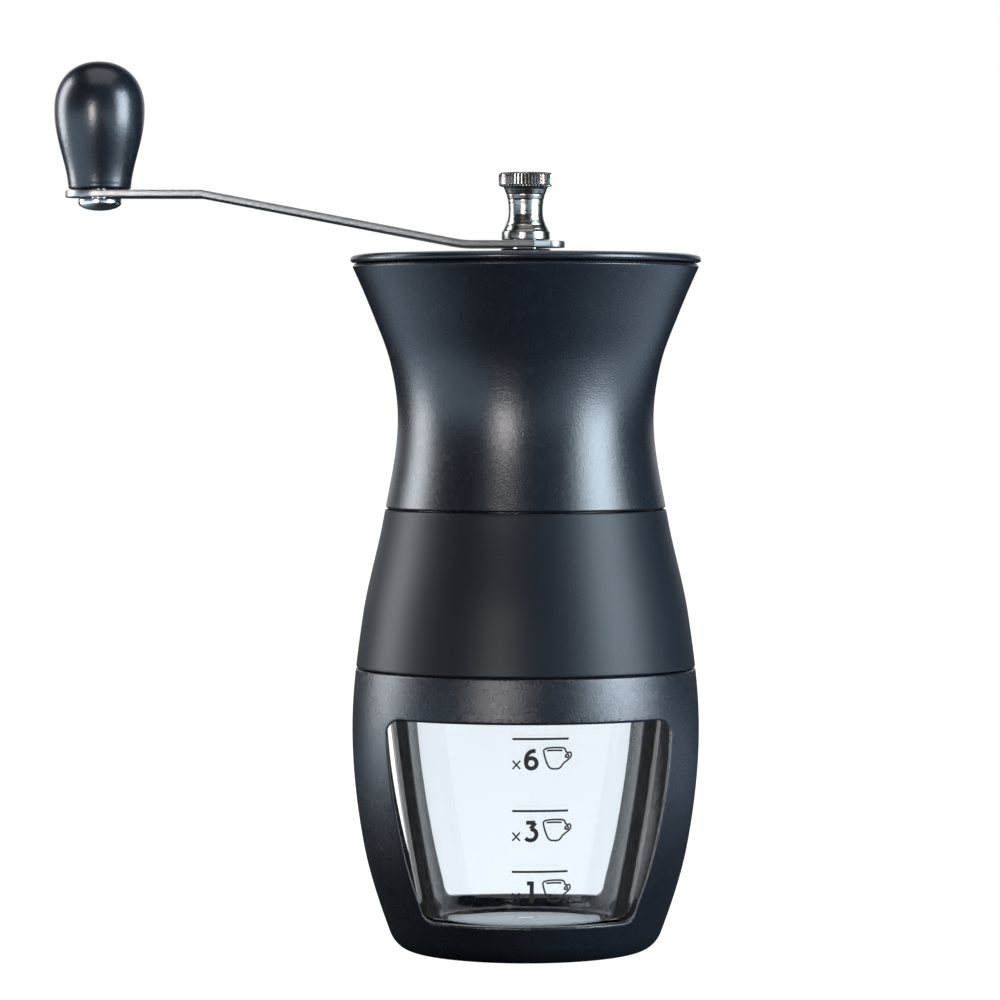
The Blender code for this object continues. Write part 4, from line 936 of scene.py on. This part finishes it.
# ---------------------------------------------------------------------------------------------------
# Shaft guide and bushes: a plain black star that wedges into the hopper's flare, and two flanged
# nylon bushes, one in the star's hub and one in the throat's, that the shaft turns in.

guide_low, guide_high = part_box("shaft_guide")
GUIDE_RIM_TOP = guide_low.z + 0.0030
GUIDE_RIM_R = guide_high.x
GUIDE_RIM_IN = GUIDE_RIM_R - 0.0020
guide_rim = rounded(
    [
        (GUIDE_RIM_R, guide_low.z, 0.0004),
        (GUIDE_RIM_R, GUIDE_RIM_TOP, 0.0004),
        (GUIDE_RIM_IN, GUIDE_RIM_TOP, 0.0004),
        (GUIDE_RIM_IN, guide_low.z, 0.0004),
    ]
)
star_guide = turned("star_guide", guide_rim, 120)
guide_arms = prism(
    "guide_arms", star(HUB_R, GUIDE_RIM_R - 0.001, ARM_WIDTH), guide_low.z + GAP, GUIDE_RIM_TOP - GAP
)
guide_hub = prism("guide_hub", circle(HUB_R + GAP, 48), guide_low.z, guide_high.z)
combined(star_guide, [guide_arms, guide_hub], "UNION")
guide_drill = prism("guide_drill", circle(HUB_BORE_R, 48), guide_low.z - GAP, guide_high.z + GAP)
combined(star_guide, [guide_drill], "DIFFERENCE")
dressed(star_guide, INNER_BLACK, "head", "inner_black", "shaft_guide")


def nylon():
    """Natural nylon: milky, waxy and faintly mottled."""
    finish = Finish("bush_natural_nylon", {"Subsurface Weight": 0.15, "Subsurface Scale": 0.001})
    mottle = finish.noise(500.0, 3.0)
    finish.colour(finish.mix((0.80, 0.78, 0.72, 1.0), (0.70, 0.68, 0.61, 1.0), mottle))
    finish.roughness(mottle * 0.15 + 0.35)
    finish.bump(mottle, 0.00003)
    return finish.material


NYLON = nylon()
BUSH_FLANGE = 0.0008
bush_r = SHAFT_R + GAP + 0.0013
for bush in ("upper_bush", "lower_bush"):
    low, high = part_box(bush)
    flange_z = high.z - BUSH_FLANGE
    bush_profile = rounded(
        [
            (SHAFT_R + GAP, low.z, 0.0002),
            (SHAFT_R + GAP, high.z, 0.0002),
            (high.x, high.z, 0.0002),
            (high.x, flange_z, 0.0002),
            (bush_r, flange_z),
            (bush_r, low.z, 0.0003),
        ]
    )
    dressed(turned(f"{bush}_sleeve", bush_profile, 64), NYLON, "head", "bush_nylon", bush)

# ---------------------------------------------------------------------------------------------------
# Lid: a flat black disc with a full round edge and a rib that centres it in the hopper's mouth. It has
# a hole for the shaft and lies loose, held down by the crank.

lid_low, lid_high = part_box("lid")
LID_R = lid_high.x
LID_UNDER = MOUTH_Z + 0.0003
LID_RIB_WIDTH = 0.0014
LID_RIB_R = outline(lid_low.z) - HOPPER_WALL - GAP
LID_BLACK = satin_black("lid_smooth_black", 0.000018, 1700.0, (0.0055, 0.0070, 0.0100))
lid_profile = rounded(
    [
        (SHAFT_R + 2 * GAP, LID_UNDER, 0.0002),
        (SHAFT_R + 2 * GAP, lid_high.z, 0.0002),
        (LID_R * 0.5, lid_high.z),
        (LID_R - 0.0022, lid_high.z, 0.001),
        (LID_R - 0.0004, lid_high.z - 0.0004, 0.0006),
        (LID_R, lid_high.z - 0.0012, 0.0008),
        (LID_R - 0.0003, LID_UNDER + 0.0002, 0.0004),
        (LID_R - 0.001, LID_UNDER, 0.0003),
        (LID_RIB_R, LID_UNDER, 0.0002),
        (LID_RIB_R, lid_low.z, 0.0004),
        (LID_RIB_R - LID_RIB_WIDTH, lid_low.z, 0.0004),
        (LID_RIB_R - LID_RIB_WIDTH, LID_UNDER, 0.0002),
    ]
)
dressed(turned("lid_disc", lid_profile, 192, sharp=50), LID_BLACK, "lid", "satin_black", "lid")

# ---------------------------------------------------------------------------------------------------
# Crank: a black spacer on the lid, a strip of brushed steel bent twice, and a domed steel rivet at its
# end, on whose shank the knob turns.

spacer_low, spacer_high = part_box("crank_spacer")
spacer_profile = rounded(
    [
        (SHAFT_R + GAP, spacer_low.z),
        (SHAFT_R + GAP, spacer_high.z),
        (spacer_high.x - 0.0004, spacer_high.z, 0.0002),
        (spacer_high.x, spacer_high.z - 0.0006, 0.0002),
        (spacer_high.x, spacer_low.z, 0.0002),
    ]
)
dressed(turned("lid_spacer", spacer_profile, 96), INNER_BLACK, "crank", "inner_black", "crank_spacer")

arm_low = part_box("crank_arm")[0]
STRIP = 0.0015
STRIP_EDGE_R = 0.0002
CRANK_REACH = 0.0967
CRANK_RISE = 0.0113
CRANK_SLOPE = math.radians(10.8)
BEND_OUT_X = -0.0735
BEND_IN_X = BEND_OUT_X + CRANK_RISE / math.tan(CRANK_SLOPE)
HUB_BEND_R = 0.025
KNOB_BEND_R = 0.004
BEND_SPAN = 0.1
HUB_WIDTH = 0.0170
KNOB_END_WIDTH = 0.0156
HUB_TIP = 0.0089
HUB_CHAMFER = (0.0017, 0.0053, 0.0098)
SHAFT_FLAT = 0.0023
AXLE_R = 0.0020
ARM_MIDDLE = arm_low.z + STRIP / 2


def strip_outline():
    """Points (x, y) round the flat strip before it is bent."""
    start, end, narrow = HUB_CHAMFER
    side = []
    for degrees in range(80, 0, -16):
        turn = math.radians(degrees)
        side.append((end + (HUB_TIP - end) * math.sin(turn), narrow / 2 * math.cos(turn)))
    side.append((end, narrow / 2))
    side.append((start, HUB_WIDTH / 2))
    tip_r = KNOB_END_WIDTH / 2
    for degrees in range(0, 90, 6):
        turn = math.radians(degrees)
        side.append((-CRANK_REACH - tip_r * math.sin(turn), tip_r * math.cos(turn)))
    tip = [(HUB_TIP, 0.0)]
    far = [(-CRANK_REACH - tip_r, 0.0)]
    return tip + side + far + [(x, -y) for x, y in reversed(side)]


def strip_lift(x):
    """(height, slope) of the bent strip at x: level, a soft bend, a ramp, a tight bend, level."""

    def eased(x_corner, radius):
        """How far through a bend x is: 0 before it, 1 after it."""
        half_span = radius * math.tan(CRANK_SLOPE / 2)
        return min(max((x_corner + half_span - x) / (2 * half_span), 0.0), 1.0), half_span

    first, first_span = eased(BEND_IN_X, HUB_BEND_R)
    second, second_span = eased(BEND_OUT_X, KNOB_BEND_R)
    rise = math.tan(CRANK_SLOPE)
    height = first**2 * first_span * rise
    if first == 1.0:
        height = (BEND_IN_X - x) * rise
    if second > 0.0:
        height = (BEND_IN_X - BEND_OUT_X - second_span) * rise
        height += rise * 2 * second_span * (second - second**2 / 2)
    return height, math.atan(rise * (first - second))


def bent_strip():
    """The strip as a flat plate with rounded edges and its two holes, then bent."""
    plate = prism("steel_strip", strip_outline(), -STRIP / 2, STRIP / 2)
    corner = math.asin((SHAFT_FLAT + GAP) / (SHAFT_R + GAP))
    right = [between(-corner, corner, i / 10) for i in range(11)]
    flats = [((SHAFT_R + GAP) * math.cos(a), (SHAFT_R + GAP) * math.sin(a)) for a in right]
    flats += [(-x, -y) for x, y in flats]
    hub_drill = prism("hub_hole", flats, -STRIP, STRIP)
    knob_drill = prism("knob_hole", circle(AXLE_R + GAP, 32), -STRIP, STRIP, (-CRANK_REACH, 0))
    combined(plate, [hub_drill, knob_drill], "DIFFERENCE")
    edge = plate.modifiers.new("edge", "BEVEL")
    edge.width = STRIP_EDGE_R
    edge.segments = 3
    edge.limit_method = "ANGLE"
    edge.angle_limit = math.radians(50)
    settled(plate)
    bm = bmesh.new()
    bm.from_mesh(plate.data)
    cuts = [BEND_IN_X + HUB_BEND_R * BEND_SPAN * (1 - 2 * i / 16) for i in range(17)]
    cuts += [BEND_OUT_X + KNOB_BEND_R * BEND_SPAN * (1 - 2 * i / 8) for i in range(9)]
    cuts += [between(BEND_IN_X - 0.004, BEND_OUT_X + 0.002, i / 12) for i in range(13)]
    for x in cuts:
        geometry = list(bm.verts) + list(bm.edges) + list(bm.faces)
        bmesh.ops.bisect_plane(bm, geom=geometry, plane_co=(x, 0, 0), plane_no=(1, 0, 0))
    for vert in bm.verts:
        height, slope = strip_lift(vert.co.x)
        up = vert.co.z
        vert.co.x += up * math.sin(slope)
        vert.co.z = ARM_MIDDLE + height + up * math.cos(slope)
    mesh = bpy.data.meshes.new("steel_strip")
    bm.to_mesh(mesh)
    bm.free()
    mesh.shade_smooth()
    mesh.set_sharp_from_angle(angle=math.radians(28))
    plate.data = mesh
    return plate


def brushed_steel():
    """Strip steel: brushed along its length on the flats, fine and dull on its cut edges."""
    finish = Finish("brushed_strip_steel", {"Metallic": 1.0})
    lines = finish.noise(260.0, 4.0, 0.65, (1.0, 22.0, 14.0))
    mottle = finish.noise(900.0, 3.0, 0.6)
    stain = finish.noise(70.0, 3.0)
    brushing = (lines * 0.6 + stain * 0.4).clamped()
    finish.colour(finish.mix((0.14, 0.14, 0.137, 1.0), (0.34, 0.34, 0.333, 1.0), brushing))
    finish.roughness(lines * 0.16 + mottle * 0.10 + 0.22)
    finish.bump(lines + mottle * 0.8, 0.00003)
    return finish.material


dressed(bent_strip(), brushed_steel(), "crank", "strip_steel", "crank_arm")


def polished_steel():
    """Turned and polished steel with faint rings and fine scratches."""
    finish = Finish("polished_turned_steel", {"Metallic": 1.0})
    rings = finish.noise(300.0, 3.0, 0.6, (0.4, 0.4, 18.0))
    scratch = finish.noise(1600.0, 3.0, 0.6)
    finish.colour(finish.mix((0.52, 0.51, 0.50, 1.0), (0.70, 0.69, 0.68, 1.0), rings))
    finish.roughness(rings * 0.12 + scratch * 0.08 + 0.12)
    finish.bump(rings, 0.00002)
    return finish.material


BRIGHT_STEEL = polished_steel()
axle_low, axle_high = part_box("knob_axle")
AXLE_HEAD_R = 0.0049
AXLE_HEAD_RIM = 0.0009
AXLE_DOME = 0.0018
head_top = axle_low.z + AXLE_DOME + AXLE_HEAD_RIM
rivet_profile = [(0, axle_low.z)]
for degrees in range(8, 91, 8):
    turn = math.radians(degrees)
    rise = AXLE_DOME * (1 - math.cos(turn))
    rivet_profile.append((AXLE_HEAD_R * math.sin(turn), axle_low.z + rise))
rivet_profile += rounded(
    [
        (AXLE_HEAD_R, head_top - 0.0006),
        (AXLE_HEAD_R, head_top, 0.0003),
        (AXLE_R, head_top),
        (AXLE_R, axle_high.z, 0.0004),
        (0, axle_high.z),
    ]
)
rivet = turned("domed_rivet", rivet_profile, 72, (-CRANK_REACH, 0))
dressed(rivet, BRIGHT_STEEL, "crank", "bright_steel", "knob_axle")

# ---------------------------------------------------------------------------------------------------
# Thumb nut: turned from bar, nickel plated, with a waisted neck that shows the tool's rings and a head
# with straight knurls. It screws on the shaft and clamps the crank.

nut_low, nut_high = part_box("thumb_nut")
NUT_FOOT_R = 0.0055
NUT_FOOT_TOP = nut_low.z + 0.0019
NUT_NECK_R = 0.0039
NUT_NECK_Z = nut_low.z + 0.0068
NUT_HEAD_R = nut_high.x
NUT_HEAD_Z = nut_high.z - 0.0031
NUT_BORE_TOP = nut_low.z + 0.0100
THREAD_R = 0.0024
KNURLS = 48
KNURL_DEPTH = 0.00045
RING_DEPTH = 0.00007
RING_PITCH = 0.00115


def knurl_tree():
    """Geometry Nodes that cut straight knurls into a turned piece.

    Count knurls stand round the upright axis. Only points from Low to High that are further than Near
    from the axis move, by up to Depth towards it, and Fade is the height over which a knurl runs out.
    """
    group = bpy.data.node_groups.new("knurls", "GeometryNodeTree")
    face = group.interface
    face.new_socket("Geometry", in_out="INPUT", socket_type="NodeSocketGeometry")
    for name in ("Count", "Depth", "Low", "High", "Fade", "Near"):
        face.new_socket(name, in_out="INPUT", socket_type="NodeSocketFloat")
    face.new_socket("Material", in_out="INPUT", socket_type="NodeSocketMaterial")
    face.new_socket("Geometry", in_out="OUTPUT", socket_type="NodeSocketGeometry")
    nodes = Nodes(group)
    start = group.nodes.new("NodeGroupInput")

    def given(name):
        return Value(nodes, start.outputs[name])

    position = nodes.node("GeometryNodeInputPosition")

    def axis(name):
        return nodes.node("ShaderNodeSeparateXYZ", sockets={0: position}, output=name)

    x, y, z = axis("X"), axis("Y"), axis("Z")
    radius = (x * x + y * y).math("SQRT")
    phase = y.math("ARCTAN2", x) * given("Count") * (0.5 / math.pi)
    ridge = (phase.math("FRACT") - 0.5).math("ABSOLUTE") * 2.0
    fade = given("Fade")
    within = ((z - given("Low")).math("DIVIDE", fade)).clamped()
    within = within * ((given("High") - z).math("DIVIDE", fade)).clamped()
    within = within * radius.math("GREATER_THAN", given("Near"))
    move = ridge * within * given("Depth") * -1.0
    safe = radius.math("MAXIMUM", 1e-6)
    offset = nodes.node(
        "ShaderNodeCombineXYZ",
        sockets={0: (x * move).math("DIVIDE", safe), 1: (y * move).math("DIVIDE", safe)},
    )
    moved = nodes.node(
        "GeometryNodeSetPosition", sockets={"Geometry": given("Geometry"), "Offset": offset}
    )
    plain = nodes.node("GeometryNodeRealizeInstances", sockets={0: moved})
    coated = nodes.node(
        "GeometryNodeSetMaterial", sockets={"Geometry": plain, "Material": given("Material")}
    )
    end = group.nodes.new("NodeGroupOutput")
    nodes.feed(end.inputs[0], coated)
    return group


KNURL_TREE = knurl_tree()


def knurled(piece, material, **sizes):
    """Cuts knurls into a piece and keeps the result as a plain mesh."""
    step = piece.modifiers.new("knurls", "NODES")
    step.node_group = KNURL_TREE
    known = {s.name: s.identifier for s in KNURL_TREE.interface.items_tree if s.in_out == "INPUT"}
    for name, value in sizes.items():
        step[known[name]] = float(value)
    step[known["Material"]] = material
    settled(piece)
    piece.data.shade_smooth()
    piece.data.set_sharp_from_angle(angle=math.radians(24))
    return piece


def nut_side():
    """The waisted neck, with the shallow rings that the turning tool left."""
    points = []
    count = 56
    foot_r = NUT_FOOT_R - 0.0002
    head_r = NUT_HEAD_R - 0.0010
    for i in range(count + 1):
        z = between(NUT_FOOT_TOP, NUT_HEAD_Z - 0.0001, i / count)
        if z < NUT_NECK_Z:
            swing = math.cos((z - NUT_FOOT_TOP) / (NUT_NECK_Z - NUT_FOOT_TOP) * math.pi / 2)
            radius = between(NUT_NECK_R, foot_r, 1 - math.sqrt(max(0.0, 1 - swing**2.6)))
        else:
            share = (z - NUT_NECK_Z) / (NUT_HEAD_Z - NUT_NECK_Z)
            radius = between(NUT_NECK_R, head_r, share**2.3)
        ring = max(0.0, math.sin((z - NUT_FOOT_TOP) * 2 * math.pi / RING_PITCH)) ** 6
        edge = min(1.0, abs(z - NUT_NECK_Z) / 0.002)
        points.append((radius - RING_DEPTH * ring * edge, z))
    return points


def nickel():
    """Plated nickel over turned brass: warm grey, fine rings, and painted shade darkening the knurl
    grooves of its head.
    """
    finish = Finish("turned_nickel", {"Metallic": 1.0})

    def axis(name):
        return finish.node("ShaderNodeSeparateXYZ", sockets={0: finish.place}, output=name)

    radius = (axis("X") * axis("X") + axis("Y") * axis("Y")).math("SQRT")
    above = axis("Z").math("GREATER_THAN", NUT_HEAD_Z + 0.0002)
    on_head = radius.math("GREATER_THAN", NUT_HEAD_R - KNURL_DEPTH - 0.0001)
    # Painted shade: the head's colour darkens towards the bottom of each knurl groove.
    groove_shade = ((NUT_HEAD_R - 0.00008 - radius) * (1.0 / 0.0003)).clamped() * on_head
    groove_shade_factor = 1 - groove_shade * above * 0.85
    rings = finish.noise(420.0, 4.0, 0.7, (0.25, 0.25, 16.0))
    tarnish = finish.noise(500.0, 4.0, 0.6)
    rings_tarnish_and_groove_shade = (rings * 1.1 + tarnish * 0.3 - 0.2).clamped() * groove_shade_factor
    finish.colour(finish.mix((0.10, 0.095, 0.09, 1.0), (0.42, 0.395, 0.37, 1.0), rings_tarnish_and_groove_shade))
    finish.roughness(rings * 0.16 + 0.14)
    finish.bump(rings, 0.00003)
    return finish.material


NICKEL = nickel()
nut_bore = THREAD_R + GAP
nut_profile = [(0, NUT_BORE_TOP), (nut_bore, NUT_BORE_TOP)]
nut_profile += rounded(
    [
        (nut_bore, nut_low.z, 0.0003),
        (NUT_FOOT_R, nut_low.z, 0.0002),
        (NUT_FOOT_R, NUT_FOOT_TOP, 0.0002),
        (NUT_FOOT_R - 0.0003, NUT_FOOT_TOP),
    ]
)
nut_profile += nut_side()
nut_profile += rounded(
    [
        (NUT_HEAD_R - 0.0009, NUT_HEAD_Z),
        (NUT_HEAD_R - 0.0004, NUT_HEAD_Z, 0.0001),
        (NUT_HEAD_R, NUT_HEAD_Z + 0.0004, 0.0001),
        (NUT_HEAD_R, nut_high.z - 0.0004, 0.0001),
        (NUT_HEAD_R - 0.0005, nut_high.z, 0.0001),
        (NUT_HEAD_R * 0.6, nut_high.z),
        (NUT_HEAD_R * 0.55, nut_high.z - 0.0001),
        (0, nut_high.z - 0.0001),
    ],
    3,
)
waisted_nut = turned("waisted_nut", nut_profile, KNURLS * 8)
knurled(
    waisted_nut,
    NICKEL,
    Count=KNURLS,
    Depth=KNURL_DEPTH,
    Low=NUT_HEAD_Z,
    High=nut_high.z,
    Fade=0.0003,
    Near=NUT_HEAD_R - 0.0006,
)
dressed(waisted_nut, NICKEL, "nut", "nut_nickel", "thumb_nut")

# ---------------------------------------------------------------------------------------------------
# Knob: a pear-shaped grip of black plastic with a slight orange-peel, bored from below and free to
# turn on the rivet's shank.

knob_low, knob_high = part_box("knob")
KNOB_FOOT_R = 0.0071
KNOB_BELLY_R = knob_high.y
KNOB_BELLY_Z = knob_low.z + 0.0180
KNOB_BORE_TOP = axle_high.z + GAP
KNOB_SWELL = 0.9
KNOB_CROWN = 0.91
knob_profile = [(0, KNOB_BORE_TOP), (AXLE_R + GAP, KNOB_BORE_TOP)]
knob_profile += rounded(
    [
        (AXLE_R + GAP, knob_low.z, 0.0003),
        (KNOB_FOOT_R, knob_low.z, 0.0007),
        (KNOB_FOOT_R, knob_low.z + 0.001),
    ],
    6,
)
for i in range(1, 30):
    share = i / 30
    swell = 0.5 - 0.5 * math.cos(math.pi * share**KNOB_SWELL)
    z = between(knob_low.z, KNOB_BELLY_Z, share)
    if z > knob_low.z + 0.001:
        knob_profile.append((between(KNOB_FOOT_R, KNOB_BELLY_R, swell), z))
crown = knob_high.z - KNOB_BELLY_Z
for degrees in range(0, 90, 5):
    turn = math.radians(degrees)
    lift = crown * math.sin(turn) ** KNOB_CROWN
    knob_profile.append((KNOB_BELLY_R * math.cos(turn) ** KNOB_CROWN, KNOB_BELLY_Z + lift))
knob_profile.append((0, knob_high.z))
KNOB_BLACK = satin_black("knob_peel_black", 0.00002, 1500.0)
pear_knob = turned("pear_knob", knob_profile, 128, (-CRANK_REACH, 0), sharp=50)
dressed(pear_knob, KNOB_BLACK, "knob", "knob_black", "knob")

# ---------------------------------------------------------------------------------------------------
# Shaft, washer, clip, spring and detent plate, and the three screws: bought steel parts. The shaft hangs
# in the bushes on its washer and clip, the spring pushes the inner burr down, the screws hold the head.


def coat(node, material):
    """Gives a CAD node, whose own shape stays, its material."""
    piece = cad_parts[node]
    piece.data.materials.clear()
    piece.data.materials.append(material)


for node in ("drive_shaft", "thrust_washer", "circlip", "burr_spring", "detent_washer"):
    coat(node, BRIGHT_STEEL)
for i in range(3):
    coat(f"carrier_screw_{i + 1}", BRIGHT_STEEL)

# ---------------------------------------------------------------------------------------------------
# Burrs and carrier: two rings of sintered ceramic that grind the beans between them. The outer one is
# held by a black moulded carrier under the deck, and the inner one turns with the shaft.


def ceramic():
    """Pale sintered ceramic with a faint speckle and a fine tooth."""
    finish = Finish("sintered_ceramic", {"Subsurface Weight": 0.05})
    speck = finish.noise(1200.0, 3.0)
    finish.colour(finish.mix((0.86, 0.85, 0.81, 1.0), (0.74, 0.72, 0.67, 1.0), speck))
    finish.roughness(speck * 0.2 + 0.3)
    finish.bump(speck, 0.00004)
    return finish.material


CERAMIC = ceramic()
coat("inner_burr", CERAMIC)
coat("outer_burr", CERAMIC)
coat("burr_carrier", INNER_BLACK)

# ---------------------------------------------------------------------------------------------------
# Dial: a lobed wheel of black plastic moulded round a milled brass nut, which runs on the shaft's thread
# and sets how fine the mill grinds.


def brass():
    """Milled brass: warm, with faint tarnish."""
    finish = Finish("dial_brass", {"Metallic": 1.0})
    tarnish = finish.noise(600.0, 3.0)
    finish.colour(finish.mix((0.66, 0.48, 0.20, 1.0), (0.45, 0.31, 0.13, 1.0), tarnish))
    finish.roughness(tarnish * 0.2 + 0.22)
    finish.bump(tarnish, 0.00002)
    return finish.material


coat("adjust_dial", INNER_BLACK)
coat("dial_nut", brass())
